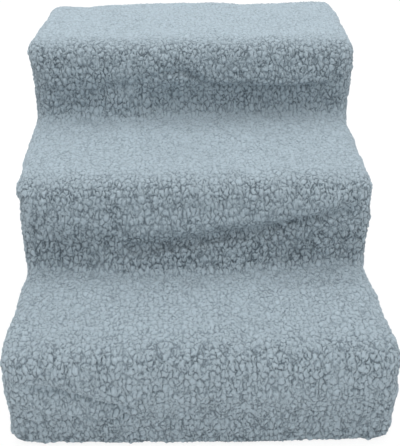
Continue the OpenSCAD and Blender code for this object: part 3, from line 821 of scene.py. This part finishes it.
def panel_inside(rows, cover, pitch):
    """The backing of the same panel, clear of the pads and of the decks' front edges."""
    radius, thick = cover.corner_radius, FLEECE_THICK
    inner = HALF_WIDTH - thick
    fillet = 3 * MM
    flat = np.linspace(0, inner - fillet, max(4, round((inner - fillet) / pitch)) + 1)
    half = [(x, thick) for x in flat]
    half += [(inner - fillet + fillet * math.sin(turn), thick + fillet * (1 - math.cos(turn)))
             for turn in np.radians((30, 60, 90))]
    half += [(inner, thick + fillet + (radius - thick - fillet) * share) for share in (0.5, 1)]
    half = np.array(half)
    section = np.concatenate([half[:0:-1] * (-1, 1), half])
    x = section[:, 0] * np.ones((len(rows), 1))
    step, is_open, sag = riser_sag(cover, rows)
    lips = np.array(TOPS)[step] - PAD_DROP - LAYER_GAP
    below_lip = smooth_step((lips - rows[:, 1]) / (8 * MM)) * is_open
    across = np.clip(np.abs(x) / (inner - 6 * MM), 0, 1)
    furrows = folds_at(x, rows[:, 1:2] + 0 * x)[0]
    sink = sag[:, None] + np.clip(furrows, 0, 4 * MM)
    depth = section[:, 1] + sink * (1 - across ** 4) * below_lip[:, None]
    points = off_path(rows, x, depth)
    limit = np.array(FRONTS)[step] - 0.5 * MM
    held = (is_open > 0.5)[:, None] & (np.abs(x) < inner - 1 * MM)
    points[..., 1] = np.where(held, np.minimum(points[..., 1], limit[:, None]), points[..., 1])
    return points


# Closed meshes


def zipped(one, two, at_one, at_two):
    """Triangles between two runs of numbered points with places along them from 0 to 1."""
    faces, a, b = [], 0, 0
    while a < len(one) - 1 or b < len(two) - 1:
        if b == len(two) - 1 or (a < len(one) - 1 and at_one[a + 1] <= at_two[b + 1]):
            faces.append((one[a], two[b], one[a + 1]))
            a += 1
        else:
            faces.append((one[a], two[b], two[b + 1]))
            b += 1
    return faces


def share_along(points):
    run = run_along(points)
    return run / run[-1]


def grid_faces(rows, columns, start=0, flip=False):
    """The four-sided faces of a grid of numbered points."""
    r, c = np.meshgrid(np.arange(rows - 1), np.arange(columns - 1), indexing="ij")
    a = (start + r * columns + c).ravel()
    faces = np.column_stack([a, a + 1, a + columns + 1, a + columns])
    return faces[:, ::-1] if flip else faces


def border(rows, columns, start=0):
    """The four edges of a grid, each a run of point numbers: bottom, right, top and left, in a ring."""
    bottom = start + np.arange(columns)
    top = start + (rows - 1) * columns + np.arange(columns)
    left = start + np.arange(rows) * columns
    right = left + columns - 1
    return [bottom, right, top[::-1], left[::-1]]


def sheet_between(name, outside, inside, outward, stands):
    """A closed sheet between an outside and a backing, each a grid, with its pile's directions and fill."""
    shape, back_shape = outside.shape[:2], inside.shape[:2]
    points = np.concatenate([outside.reshape(-1, 3), inside.reshape(-1, 3)])
    start = shape[0] * shape[1]
    faces = grid_faces(*shape).tolist() + grid_faces(*back_shape, start, True).tolist()
    rim = set()
    for one, two in zip(border(*shape), border(*back_shape, start)):
        faces += zipped(two, one, share_along(points[two]), share_along(points[one]))
        rim.update(one.tolist())
        rim.update(two.tolist())
    pile = np.zeros(len(points))
    pile[:start] = np.repeat(stands, shape[1])
    grow = np.zeros_like(points)
    grow[:start] = outward.reshape(-1, 3)
    return mesh_piece(name, points, faces, {"pile": pile}, {"grow": grow}, rim)


def mesh_piece(name, points, faces, numbers=(), directions=(), rim=()):
    """A mesh object at the origin, smooth apart from its rim, with its attributes."""
    mesh = bpy.data.meshes.new(name)
    mesh.from_pydata(np.asarray(points).tolist(), [], [list(map(int, f)) for f in faces])
    mesh.update()
    mesh.shade_smooth()
    for key, values in dict(numbers).items():
        mesh.attributes.new(key, "FLOAT", "POINT").data.foreach_set("value", np.asarray(values, np.float32))
    for key, values in dict(directions).items():
        layer = mesh.attributes.new(key, "FLOAT_VECTOR", "POINT")
        layer.data.foreach_set("vector", np.asarray(values, np.float32).ravel())
    if rim:
        flags = np.zeros(len(mesh.vertices), bool)
        flags[list(rim)] = True
        pairs = np.empty(len(mesh.edges) * 2, np.int32)
        mesh.edges.foreach_get("vertices", pairs)
        sharp = flags[pairs.reshape(-1, 2)].all(1)
        mesh.attributes.new("sharp_edge", "BOOLEAN", "EDGE").data.foreach_set("value", sharp)
    piece = bpy.data.objects.new(name, mesh)
    bpy.context.scene.collection.objects.link(piece)
    return piece


# The pile


def pile_tree(pile, material):
    """Geometry nodes that raise curled nubs on a panel, along its own outward directions."""
    group = bpy.data.node_groups.new("fleece_pile", "GeometryNodeTree")
    face = group.interface
    face.new_socket("Geometry", in_out="INPUT", socket_type="NodeSocketGeometry")
    for name, kind, value in (
            ("Nub size", "NodeSocketFloat", pile.nub_size), ("Nub depth", "NodeSocketFloat", pile.nub_depth),
            ("Swirl", "NodeSocketFloat", pile.swirl), ("Seed", "NodeSocketInt", pile.seed)):
        face.new_socket(name, in_out="INPUT", socket_type=kind).default_value = value
    face.new_socket("Geometry", in_out="OUTPUT", socket_type="NodeSocketGeometry")
    tree = Tree(group)
    given = group.nodes.new("NodeGroupInput")
    panel, size, depth, swirl, seed = (Wire(tree, given.outputs[k]) for k in range(5))
    place = tree.add("GeometryNodeInputPosition")
    shift = tree.add("ShaderNodeCombineXYZ", {}, {0: seed * 13.7, 1: seed * 5.3, 2: seed * 9.1})
    upright = tree.vector("MULTIPLY", tree.scale(place, 1 / size), (1.28, 0.88, 0.84))
    start = tree.vector("ADD", upright, shift)
    strength = tree.ramp(tree.noise(start, 0.35, 1.0), 0.3, 0.7, 0.85, 1.0)
    height = 1 - (1 - fleece_curls(tree, start, swirl)) * strength
    broad = (tree.noise(start, 0.42, 2.0) - 0.5) * 0.8
    stands, grow = (
        tree.add("GeometryNodeInputNamedAttribute", {"data_type": kind}, {"Name": name}, "Attribute")
        for kind, name in (("FLOAT", "pile"), ("FLOAT_VECTOR", "grow")))
    offset = tree.scale(grow, (height - 0.72 + broad) * depth * stands)
    for kind, name, value in (("FLOAT", "nap", height), ("FLOAT_VECTOR", "nubs", start)):
        panel = tree.add("GeometryNodeStoreNamedAttribute", {"data_type": kind, "domain": "POINT"},
                         {"Geometry": panel, "Name": name, "Value": value})
    raised = tree.add("GeometryNodeSetPosition", {}, {"Geometry": panel, "Offset": offset})
    real = tree.add("GeometryNodeRealizeInstances", {}, {"Geometry": raised})
    final = tree.add("GeometryNodeSetMaterial", {}, {"Geometry": real, "Material": material})
    out = group.nodes.new("NodeGroupOutput")
    group.links.new(final.socket, out.inputs[0])
    return group


def fleece_material():
    return bpy.data.materials.get("curled_fleece") or fleece_finish()


def raise_pile(piece, pile):
    """Runs the pile's nodes on a panel and keeps the result as its plain mesh."""
    group = bpy.data.node_groups.get("fleece_pile") or pile_tree(pile, fleece_material())
    nodes = piece.modifiers.new("pile", "NODES")
    nodes.node_group = group
    values = {"Nub size": pile.nub_size, "Nub depth": pile.nub_depth, "Swirl": pile.swirl, "Seed": pile.seed}
    for item in group.interface.items_tree:
        if item.in_out == "INPUT" and item.name in values:
            nodes[item.identifier] = values[item.name]
    depsgraph = bpy.context.evaluated_depsgraph_get()
    plain = bpy.data.meshes.new_from_object(
        piece.evaluated_get(depsgraph), preserve_all_data_layers=True, depsgraph=depsgraph)
    piece.modifiers.remove(nodes)
    bare, piece.data = piece.data, plain
    bpy.data.meshes.remove(bare)
    plain.attributes.remove(plain.attributes["grow"])


# Side panels and the hem


def outline_of_side(cover, pitch, side):
    """The seam line of a side panel, from its front foot over the steps to its rear foot: [y, z, spread]."""
    rows = stepped_profile(0.8 * MM, cover)
    depth = cover.corner_radius + LAYER_GAP
    line = rows[:, :2] - path_normals(rows) * depth
    foot = HEM_HIGH[2] + HEM_GAP
    line[0, 1] = foot
    line = np.column_stack([line, spread_at(rows[:, 2])[SIDES.index(side)]])
    return even(np.concatenate([line, [[line[-1, 0], foot, line[-1, 2]]]]), pitch)


def closed_outline(cover, pitch, side):
    """A side panel's whole edge: its seam line, and its foot back to the front."""
    seam = outline_of_side(cover, pitch, side)
    foot = even(np.concatenate([seam[-1:], seam[:1]]), pitch)
    return np.concatenate([seam, foot[1:-1]])


def flat_mesh(outline, pitch):
    """Points and triangles that fill an outline, with its own points first."""
    row_share, clear_share = 0.866, 0.7
    low, high = outline.min(0), outline.max(0)
    ys = np.arange(low[0], high[0], pitch)
    zs = np.arange(low[1], high[1], pitch * row_share)
    y, z = np.meshgrid(ys, zs)
    y += (np.arange(len(zs)) % 2)[:, None] * pitch / 2
    inner = np.column_stack([y.ravel(), z.ravel()])
    ends = np.roll(outline, -1, axis=0)
    inside = np.zeros(len(inner), bool)
    for (y0, z0), (y1, z1) in zip(outline, ends):
        if z0 != z1:
            crossing = (inner[:, 1] >= min(z0, z1)) & (inner[:, 1] < max(z0, z1))
            inside ^= crossing & (inner[:, 0] < y0 + (inner[:, 1] - z0) * (y1 - y0) / (z1 - z0))
    inner = inner[inside]
    inner = inner[nearest(inner, outline)[0] > clear_share * pitch]
    points = np.concatenate([outline, inner])
    count = len(outline)
    ring = [(k, (k + 1) % count) for k in range(count)]
    filled = delaunay_2d_cdt([tuple(p) for p in points], ring, [], 1, 1e-7)
    kept = [origin[0] for origin in filled[3]]
    return points, [[kept[v] for v in face] for face in filled[2]]


def nearest(points, outline, values=None):
    """The distance of each point from an outline, and values at the outline spread over the points."""
    batch, least_distance = 4000, 0.5 * MM
    distance = np.empty(len(points))
    spread = np.zeros(len(points))
    for first in range(0, len(points), batch):
        part = slice(first, first + batch)
        square = ((points[part, None] - outline[None]) ** 2).sum(-1)
        distance[part] = np.sqrt(square.min(1))
        if values is not None:
            weight = (square + least_distance ** 2) ** -2
            spread[part] = (weight * values).sum(1) / weight.sum(1)
    return distance, spread


def side_panel(side, cover):
    """One side of the cover: fleece between the long panel's seam, the rear seam and the hem."""
    sign = -1 if side == "left" else 1
    edge = closed_outline(cover, cover.mesh_pitch, side)
    back_edge = closed_outline(cover, cover.lining_pitch, side)
    flat, faces = flat_mesh(edge[:, :2], cover.mesh_pitch)
    back_flat, back_faces = flat_mesh(back_edge[:, :2], cover.lining_pitch)
    to_edge, spread = nearest(flat, edge[:, :2], edge[:, 2])
    to_edge[:len(edge)] = 0
    over_hem = smooth_step((flat[:, 1] - HEM_HIGH[2]) / (6 * MM))
    x = HALF_WIDTH + spread - cover.seam_tuck * seam_pull(to_edge) * over_hem
    x += loft(np.column_stack([sign * HALF_WIDTH * np.ones(len(flat)), flat]), cover)
    outside = np.column_stack([sign * x, flat])
    inside = np.column_stack([sign * (HALF_WIDTH - FLEECE_THICK) * np.ones(len(back_flat)), back_flat])
    points = np.concatenate([outside, inside])
    start = len(outside)
    ring = np.concatenate([np.arange(len(edge)), [0]])
    back_ring = start + np.concatenate([np.arange(len(back_edge)), [0]])
    rim = zipped(back_ring, ring, share_along(points[back_ring]), share_along(points[ring]))
    faces = [face[::sign] for face in faces]
    faces += [[start + v for v in face[::-sign]] for face in back_faces]
    faces += [face[::-sign] for face in rim]
    pile = np.zeros(len(points))
    pile[:start] = SIDE_PILE
    grow = np.zeros_like(points)
    grow[:start, 0] = sign
    return mesh_piece(f"fleece_side_{side}", points, faces, {"pile": pile}, {"grow": grow},
                      set(ring.tolist()) | set(back_ring.tolist()))


def hem_loop(front, rear, cover):
    """The ring that the panels' lower edges follow, as [x, y], counted round from the front left."""
    left, right = (outline_of_side(cover, cover.mesh_pitch, side) for side in SIDES)
    right = [[HALF_WIDTH + spread, y] for y, _, spread in right[[0, -1]]]
    left = [[-HALF_WIDTH - spread, y] for y, _, spread in left[[-1, 0]]]
    loop = np.concatenate([front[:, :2], right, rear[::-1, :2], left, front[:1, :2]])
    return even(loop, cover.mesh_pitch)[:-1]


# How far the hem's foot hangs up along the front, and how far out: [x, up, out], in millimetres
HEM_HANG = (
    (-200, 6, -3), (-186, 3.4, -1.6), (-172, 2, 0), (-110, 1.6, 0), (-40, -0.8, 0), (60, -1.2, 1.4),
    (180, -0.6, 1.8), (200, 3.5, -1.5),
)


def hem_hang(ring):
    """How far the hem's foot hangs up, and out, at points [x, y] of its ring, in metres."""
    at_front = smooth_step((FRONTS[0] + 60 * MM - ring[:, 1]) / (40 * MM))
    places, up, out = np.array(HEM_HANG).T * MM
    return [np.interp(ring[:, 0], places, values) * at_front for values in (up, out)]


def hoop_points(ring, out, z):
    """Points of a section carried round a ring: for each ring point, its places outwards and its heights."""
    run = unit(np.roll(ring, -1, axis=0) - np.roll(ring, 1, axis=0))
    return np.stack([ring[:, :1] + run[:, 1:] * out, ring[:, 1:] - run[:, :1] * out, z], -1)


def hoop_faces(count, across):
    """The faces between a section's points, all round a ring and round the section."""
    numbers = np.arange(count * across).reshape(count, across)
    after, beside = np.roll(numbers, -1, axis=0), np.roll(numbers, -1, axis=1)
    return np.stack([numbers, beside, np.roll(after, -1, axis=1), after], -1).reshape(-1, 4)


def hem_casing(loop, cover):
    """The gathered casing: the fleece turned under and up again round the foot of the stairs."""
    top, foot, thick = HEM_HIGH[2], HEM_LOW[2], FLEECE_THICK
    turn_radius = 5 * MM
    outer = [(0, top), (0.1 * MM, top - 1.2 * MM), (0.3 * MM, top - 3 * MM)]
    for turn in np.radians(np.linspace(0, 90, 9)):
        outer.append((0.4 * MM - turn_radius + turn_radius * math.cos(turn),
                      foot + turn_radius - turn_radius * math.sin(turn)))
    inner = [(-thick + 0.9 * MM, foot), (-thick + 0.2 * MM, foot + 0.6 * MM), (-thick, foot + 2 * MM),
             (-thick, (foot + top) / 2), (-thick, top), (-thick / 2, top)]
    outer = even(np.array(outer), cover.mesh_pitch)
    section = np.concatenate([outer, inner])
    level = np.column_stack([loop, np.zeros(len(loop))])
    gather = 0.9 * MM * swells(level, 30 * MM, 5)
    rise = 0.8 * MM * swells(level, 60 * MM, 6)
    soft = np.clip((section[:, 0] + thick) / thick, 0, 1)
    low = np.clip((top - section[:, 1]) / (top - foot), 0, 1)
    up, fuller = hem_hang(loop)
    out = section[:, 0] + gather[:, None] * soft + fuller[:, None] * low * soft
    z = section[:, 1] + (np.abs(rise) * (up >= 0) + up)[:, None] * low * soft
    points = hoop_points(loop, out, z)
    grow = unit(np.cross(np.roll(points, -1, 0) - np.roll(points, 1, 0),
                         np.roll(points, 1, 1) - np.roll(points, -1, 1)))
    grow[:, :2, 2] = 0
    pile = np.zeros(points.shape[:2])
    pile[:, :len(outer)] = HANGING_PILE
    pile[:, len(outer) - 3:len(outer)] = (0.8, 0.5, 0.2)
    count, across = pile.shape
    return mesh_piece("hem_gather", points.reshape(-1, 3), hoop_faces(count, across), {"pile": pile.ravel()},
                      {"grow": unit(grow).reshape(-1, 3)}, set(range(0, count * across, across)))


def elastic_band():
    """A flat ribbed band round the stairs, inside the casing, that follows the hem up and in."""
    low, high = corners("hem_elastic")
    radius, thick = 8 * MM, 1.6 * MM
    inset = radius + thick / 2
    path = []
    for x, y, start in (
            (high[0] - inset, low[1] + inset, -90), (high[0] - inset, high[1] - inset, 0),
            (inset - high[0], high[1] - inset, 90), (inset - high[0], low[1] + inset, 180)):
        path += [(x + radius * math.cos(turn), y + radius * math.sin(turn))
                 for turn in np.radians(np.linspace(start, start + 90, 9))]
    path = even(np.array(path + path[:1]), 2 * MM)[:-1]
    foot, top, half = low[2], high[2], thick / 2
    ribs = [(half if k % 2 else 0.7 * half, foot + (top - foot) * (k + 0.5) / 8) for k in range(8)]
    section = np.array([(0, foot), *ribs, (0, top), *((-out, z) for out, z in ribs[::-1])])
    up, fuller = hem_hang(path)
    points = hoop_points(path, section[:, 0] + fuller.clip(max=0)[:, None],
                         section[:, 1] + 0.7 * up.clip(0)[:, None])
    faces = hoop_faces(*points.shape[:2])[:, (0, 3, 2, 1)]
    return mesh_piece("hem_band", points.reshape(-1, 3), faces)


# Pads and linings


def wrapped_path(step, inside, outside, pitch):
    """The middle of a layer that lies on a tread and wraps over its nose, from its lip up, as [y, z]."""
    middle = (inside + outside) / 2
    front, top = FRONTS[step], TOPS[step]
    centre = (front + NOSE_RADIUS, top - NOSE_RADIUS)
    radius = NOSE_RADIUS + middle
    end = corners(f"tread_pad_{STEPS[step]}")[1][1]
    path = [(centre[0] - radius, top - PAD_DROP), (centre[0] - radius, centre[1])]
    path += [(centre[0] + radius * math.cos(a), centre[1] + radius * math.sin(a))
             for a in np.radians(np.linspace(180, 90, 40))]
    path.append((end, top + middle))
    return even(np.array(path), pitch)


def pillow(name, path, half_width, thick, pitch, crown):
    """A closed layer round a bent middle, rounded at its edges and thinner near them by a crown's share."""
    edge_reach = 12 * MM
    xs = np.linspace(-half_width, half_width, round(2 * half_width / pitch) + 1)
    level = np.ones((len(path), len(xs)))
    run = run_along(path)
    to_end = np.minimum(run, run[-1] - run)[:, None] * level
    to_side = (half_width - np.abs(xs)) * level
    half = thick / 2

    def rounded(distance):
        return np.sqrt(1 - (1 - np.clip(distance / half, 0, 1)) ** 2)

    body = 1 - crown * (np.exp(-to_end / edge_reach) + np.exp(-to_side / edge_reach))
    height = half * np.minimum(rounded(to_end), rounded(to_side)) * np.clip(body, 0.3, 1)
    top, below = (off_path(path, xs * level, side * height) for side in (-1, 1))
    rows, columns = level.shape
    upper = np.arange(rows * columns).reshape(rows, columns)
    lower = upper.copy()
    inside = (rows - 2, columns - 2)
    lower[1:-1, 1:-1] = rows * columns + np.arange(inside[0] * inside[1]).reshape(inside)
    points = np.concatenate([top.reshape(-1, 3), below[1:-1, 1:-1].reshape(-1, 3)])

    def squares(n):
        return np.stack([n[:-1, :-1], n[:-1, 1:], n[1:, 1:], n[1:, :-1]], -1).reshape(-1, 4)

    return mesh_piece(name, points, np.concatenate([squares(upper), squares(lower)[:, ::-1]]))


def swell(piece, cap):
    """Blows a foam pad up a little as cloth, so that it crowns, and holds each point near its start."""
    last_frame = 15
    start = np.array([v.co for v in piece.data.vertices])
    cloth = piece.modifiers.new("swell", "CLOTH")
    cloth.settings.quality = 5
    cloth.settings.use_pressure = True
    cloth.settings.uniform_pressure_force = 4
    cloth.settings.effector_weights.gravity = 0
    scene = bpy.context.scene
    for number in range(1, last_frame + 1):
        scene.frame_set(number)
    depsgraph = bpy.context.evaluated_depsgraph_get()
    moved = np.array([v.co for v in piece.evaluated_get(depsgraph).data.vertices])
    piece.modifiers.remove(cloth)
    scene.frame_set(1)
    shift = moved - start
    length = np.linalg.norm(shift, axis=1, keepdims=True)
    shift *= np.minimum(1, cap / np.maximum(length, 1e-9))
    piece.data.vertices.foreach_set("co", (start + shift).astype(np.float32).ravel())
    piece.data.update()


# Operators


def give(piece, material):
    """Puts one material on all of a piece."""
    if piece.material_slots:
        for slot in piece.material_slots:
            slot.material = material
    else:
        piece.data.materials.append(material)


def on_cover(piece, node):
    """Puts a piece on the cover, so that it moves with it, and hides the CAD node that it stands for."""
    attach(piece, "cover")
    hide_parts(node)


def finish_fleece(piece, pile, node):
    """Raises the pile of a panel and puts it on the cover."""
    raise_pile(piece, pile)
    on_cover(piece, node)


def stepped_panel(cover):
    """The rows of the long panel's profile, and its outside before the seam at its top is drawn in."""
    rows = stepped_profile(cover.mesh_pitch, cover)
    return rows, panel_outside(rows, cover, cover.mesh_pitch)


def rear_panel(cover):
    """The outside of the back panel before the seam at its top is drawn in."""
    return panel_outside(rear_profile(cover.mesh_pitch), cover, cover.mesh_pitch)


def cuts_at_creases(rows):
    """The numbers of the rows where one step's fleece ends and the next one's starts."""
    creases = [int(np.argmin(np.abs(rows[:, 2] - place))) for place in (4, 8)]
    return [0, *creases, len(rows) - 1]


class PETSTAIRS_OT_fleece_steps(bpy.types.Operator):
    """Make the long fleece panel over the steps"""

    bl_idname = "pet_stairs.fleece_steps"
    bl_label = "Fleece over the Steps"

    def execute(self, context):
        cover, pile = settings()
        rows, uncut = stepped_panel(cover)
        back_rows = stepped_profile(cover.lining_pitch)
        outside = groove(uncut, 0, TOP_SEAM_SHARE * cover.seam_tuck, cover.mesh_pitch)
        outward = grid_normals(outside)
        inside = panel_inside(back_rows, cover, cover.lining_pitch)
        cuts, back_cuts = cuts_at_creases(rows), cuts_at_creases(back_rows)
        for i, step in enumerate(STEPS):
            part = slice(cuts[i], cuts[i + 1] + 1)
            back_part = slice(back_cuts[i], back_cuts[i + 1] + 1)
            piece = sheet_between(f"fleece_step_{step}", outside[part], inside[back_part], outward[part],
                                  pile_stands(rows[part, 2]))
            finish_fleece(piece, pile, "fleece_steps")
            run = whole_length(rows[part, :2])
        return {"FINISHED"}


class PETSTAIRS_OT_fleece_rear(bpy.types.Operator):
    """Make the fleece panel down the back"""

    bl_idname = "pet_stairs.fleece_rear"
    bl_label = "Fleece Back"

    def execute(self, context):
        cover, pile = settings()
        rear = groove(rear_panel(cover), TOP_SEAM_SHARE * cover.seam_tuck, 0, cover.mesh_pitch)
        backing = panel_inside(rear_profile(cover.lining_pitch), cover, cover.lining_pitch)
        stands = HANGING_PILE * np.ones(len(rear))
        piece = sheet_between("fleece_rear", rear, backing, grid_normals(rear), stands)
        finish_fleece(piece, pile, "fleece_back")
        return {"FINISHED"}


class PETSTAIRS_OT_hem_gather(bpy.types.Operator):
    """Make the gathered casing round the cover's foot"""

    bl_idname = "pet_stairs.hem_gather"
    bl_label = "Hem Casing"

    def execute(self, context):
        cover, pile = settings()
        loop = hem_loop(stepped_panel(cover)[1][0], rear_panel(cover)[-1], cover)
        hem = hem_casing(loop, cover)
        finish_fleece(hem, pile, "hem_casing")
        around = whole_length(np.concatenate([loop, loop[:1]]))
        return {"FINISHED"}


class PETSTAIRS_OT_fleece_sides(bpy.types.Operator):
    """Make the cover's left and right panels"""

    bl_idname = "pet_stairs.fleece_sides"
    bl_label = "Fleece Sides"

    def execute(self, context):
        cover, pile = settings()
        y, z, _ = outline_of_side(cover, 5 * MM, "left").T
        for side in SIDES:
            piece = side_panel(side, cover)
            finish_fleece(piece, pile, f"fleece_{side}")
        return {"FINISHED"}


class PETSTAIRS_OT_pads(bpy.types.Operator):
    """Make the foam pads on the treads"""

    bl_idname = "pet_stairs.pads"
    bl_label = "Tread Pads"

    def execute(self, context):
        foam = foam_finish()
        pitch, room_to_swell, crown = 3.5 * MM, 0.5 * MM, 0.12
        for i, step in enumerate(STEPS):
            path = wrapped_path(i, PAD_OUT - PAD_THICK, PAD_OUT, pitch)
            pad = pillow(f"pad_{step}", path, PAD_HIGH[0], PAD_THICK - room_to_swell, pitch, crown)
            swell(pad, room_to_swell / 2)
            give(pad, foam)
            on_cover(pad, f"tread_pad_{step}")
        return {"FINISHED"}


class PETSTAIRS_OT_linings(bpy.types.Operator):
    """Make the knitted linings that hold the pads"""

    bl_idname = "pet_stairs.linings"
    bl_label = "Pad Linings"

    def execute(self, context):
        lining = knit_finish("knitted_lining", colours().lining, 1.4 * MM)
        pitch = 4 * MM
        for i, step in enumerate(STEPS):
            path = wrapped_path(i, LINING_OUT - LINING_THICK, LINING_OUT, pitch)
            sheet = pillow(f"lining_{step}", path, LINING_HIGH[0], LINING_THICK, pitch, 0)
            give(sheet, lining)
            on_cover(sheet, f"pad_lining_{step}")
            size = (2 * LINING_HIGH[0], whole_length(path))
        return {"FINISHED"}


class PETSTAIRS_OT_hem_band(bpy.types.Operator):
    """Make the elastic band in the hem"""

    bl_idname = "pet_stairs.hem_band"
    bl_label = "Hem Elastic"

    def execute(self, context):
        band = elastic_band()
        give(band, knit_finish("ribbed_elastic", colours().elastic, 1.0 * MM, rib=True))
        on_cover(band, "hem_elastic")
        return {"FINISHED"}


class PETSTAIRS_OT_frame(bpy.types.Operator):
    """Give the moulded frame, its fasteners and its feet their finishes"""

    bl_idname = "pet_stairs.frame"
    bl_label = "Frame Finishes"

    def execute(self, context):
        shell = moulded_finish("moulded_frame", colours().plastic, 0.42)
        fastener = moulded_finish("moulded_fastener", colours().fastener, 0.22, 0.02 * MM)
        rubber = rubber_finish()
        for name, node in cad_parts.items():
            if node.hide_render:
                continue
            is_foot, is_fastener = name.startswith("foot_"), name in ("rail_rivets", "link_keys")
            give(node, rubber if is_foot else fastener if is_fastener else shell)
        return {"FINISHED"}


class PETSTAIRS_OT_studio(bpy.types.Operator):
    """Set up the floor, the lamps, the room light and the camera"""

    bl_idname = "pet_stairs.studio"
    bl_label = "Studio"

    def execute(self, context):
        studio = context.scene.pet_stairs_studio
        scene = context.scene
        scene.view_settings.view_transform = "Standard"
        self.floor()
        self.room(studio)
        self.lamp("overhead", place=(0, 0.22, 1.4), aim=(0, 0, 0.15), size=1.25, power=studio.key_power)
        self.lamp("front", place=(0, -1, 0.3), aim=(0, -0.2, 0.1), size=0.6, power=studio.fill_power)
        self.camera(studio)
        return {"FINISHED"}

    def floor(self):
        """A plain grey floor, which the camera sees as white with only a thin shadow on it."""
        edge = 6.0
        mesh = bpy.data.meshes.new("floor")
        mesh.from_pydata([(-edge, -edge, 0), (edge, -edge, 0), (edge, edge, 0), (-edge, edge, 0)], [],
                         [(0, 1, 2, 3)])
        floor = bpy.data.objects.new("floor", mesh)
        bpy.context.scene.collection.objects.link(floor)
        material = bpy.data.materials.new("floor")
        material.use_nodes = True
        tree = Tree(material.node_tree)
        material.node_tree.nodes.clear()
        lit_grey, shadow_grey, glow_strength = 0.8, 0.16, 0.88
        plain, thin = (tree.add("ShaderNodeBsdfDiffuse", {}, {"Color": (grey, grey, grey, 1)})
                       for grey in (lit_grey, shadow_grey))
        glow = tree.add("ShaderNodeEmission", {}, {"Color": (1, 1, 1, 1), "Strength": glow_strength})
        white = tree.add("ShaderNodeAddShader", {}, {0: thin, 1: glow})
        both = tree.add("ShaderNodeMixShader", {}, {0: self.seen(tree), 1: plain, 2: white})
        out = material.node_tree.nodes.new("ShaderNodeOutputMaterial")
        material.node_tree.links.new(both.socket, out.inputs[0])
        mesh.materials.append(material)

    @staticmethod
    def seen(tree):
        """1 for what the camera sees, straight or in a gloss, and 0 for light that falls on the object."""
        path = tree.tree.nodes.new("ShaderNodeLightPath")
        rays = [Wire(tree, path.outputs[name])
                for name in ("Is Camera Ray", "Is Glossy Ray", "Is Transmission Ray")]
        return rays[0].most(rays[1]).most(rays[2])

    def room(self, studio):
        """Even light from all round, which the camera sees as white."""
        world = bpy.data.worlds.new("room")
        bpy.context.scene.world = world
        world.use_nodes = True
        world.node_tree.nodes.clear()
        tree = Tree(world.node_tree)
        seen = self.seen(tree)
        strength = seen * (1 - studio.room_light) + studio.room_light
        light = tree.add("ShaderNodeBackground", {}, {"Color": (1, 1, 1, 1), "Strength": strength})
        out = world.node_tree.nodes.new("ShaderNodeOutputWorld")
        world.node_tree.links.new(light.socket, out.inputs[0])

    def lamp(self, name, place, aim, size, power):
        data = bpy.data.lights.new(name, "AREA")
        data.shape, data.size, data.energy = "SQUARE", size, power
        lamp = bpy.data.objects.new(name, data)
        lamp.location = place
        lamp.rotation_mode = "QUATERNION"
        lamp.rotation_quaternion = (Vector(aim) - Vector(place)).to_track_quat("-Z", "Y")
        bpy.context.scene.collection.objects.link(lamp)

    def camera(self, studio):
        data = bpy.data.cameras.new("camera")
        data.sensor_width, data.lens = 36, studio.camera_lens
        camera = bpy.data.objects.new("camera", data)
        turn, tilt = studio.camera_turn, studio.camera_tilt
        ahead = np.array([math.sin(turn) * math.cos(tilt), math.cos(turn) * math.cos(tilt), -math.sin(tilt)])
        right = np.array([math.cos(turn), -math.sin(turn), 0])
        up = np.cross(right, ahead)
        place = Matrix(np.column_stack([right, up, -ahead]).tolist()).to_4x4()
        place.translation = studio.camera_place
        camera.matrix_world = place
        bpy.context.scene.collection.objects.link(camera)
        bpy.context.scene.camera = camera


OPERATORS = (
    PETSTAIRS_OT_studio,
    PETSTAIRS_OT_fleece_steps,
    PETSTAIRS_OT_fleece_rear,
    PETSTAIRS_OT_hem_gather,
    PETSTAIRS_OT_fleece_sides,
    PETSTAIRS_OT_pads,
    PETSTAIRS_OT_linings,
    PETSTAIRS_OT_hem_band,
    PETSTAIRS_OT_frame,
)
GROUPS = {
    "pet_stairs_cover": CoverShape,
    "pet_stairs_pile": PileShape,
    "pet_stairs_colours": FrameColours,
    "pet_stairs_studio": StudioSetup,
}


class PETSTAIRS_PT_sidebar(bpy.types.Panel):
    """Lists the stairs' pieces and their sizes"""

    bl_idname = "PETSTAIRS_PT_sidebar"
    bl_label = "Pet Stairs"
    bl_space_type = "VIEW_3D"
    bl_region_type = "UI"
    bl_category = "Pet Stairs"

    def draw(self, context):
        for operator in OPERATORS:
            self.layout.operator(operator.bl_idname)
        for name, group in GROUPS.items():
            part = self.layout.box()
            for key in group.__annotations__:
                part.prop(getattr(context.scene, name), key)


def register():
    for item in (*GROUPS.values(), *OPERATORS, PETSTAIRS_PT_sidebar):
        bpy.utils.register_class(item)
    for name, group in GROUPS.items():
        setattr(bpy.types.Scene, name, PointerProperty(type=group))


def unregister():
    for name in GROUPS:
        delattr(bpy.types.Scene, name)
    for item in reversed((*GROUPS.values(), *OPERATORS, PETSTAIRS_PT_sidebar)):
        bpy.utils.unregister_class(item)


def main():
    register()
    for operator in OPERATORS:
        group, name = operator.bl_idname.split(".")
        getattr(getattr(bpy.ops, group), name)()


if __name__ == "__main__":
    main()
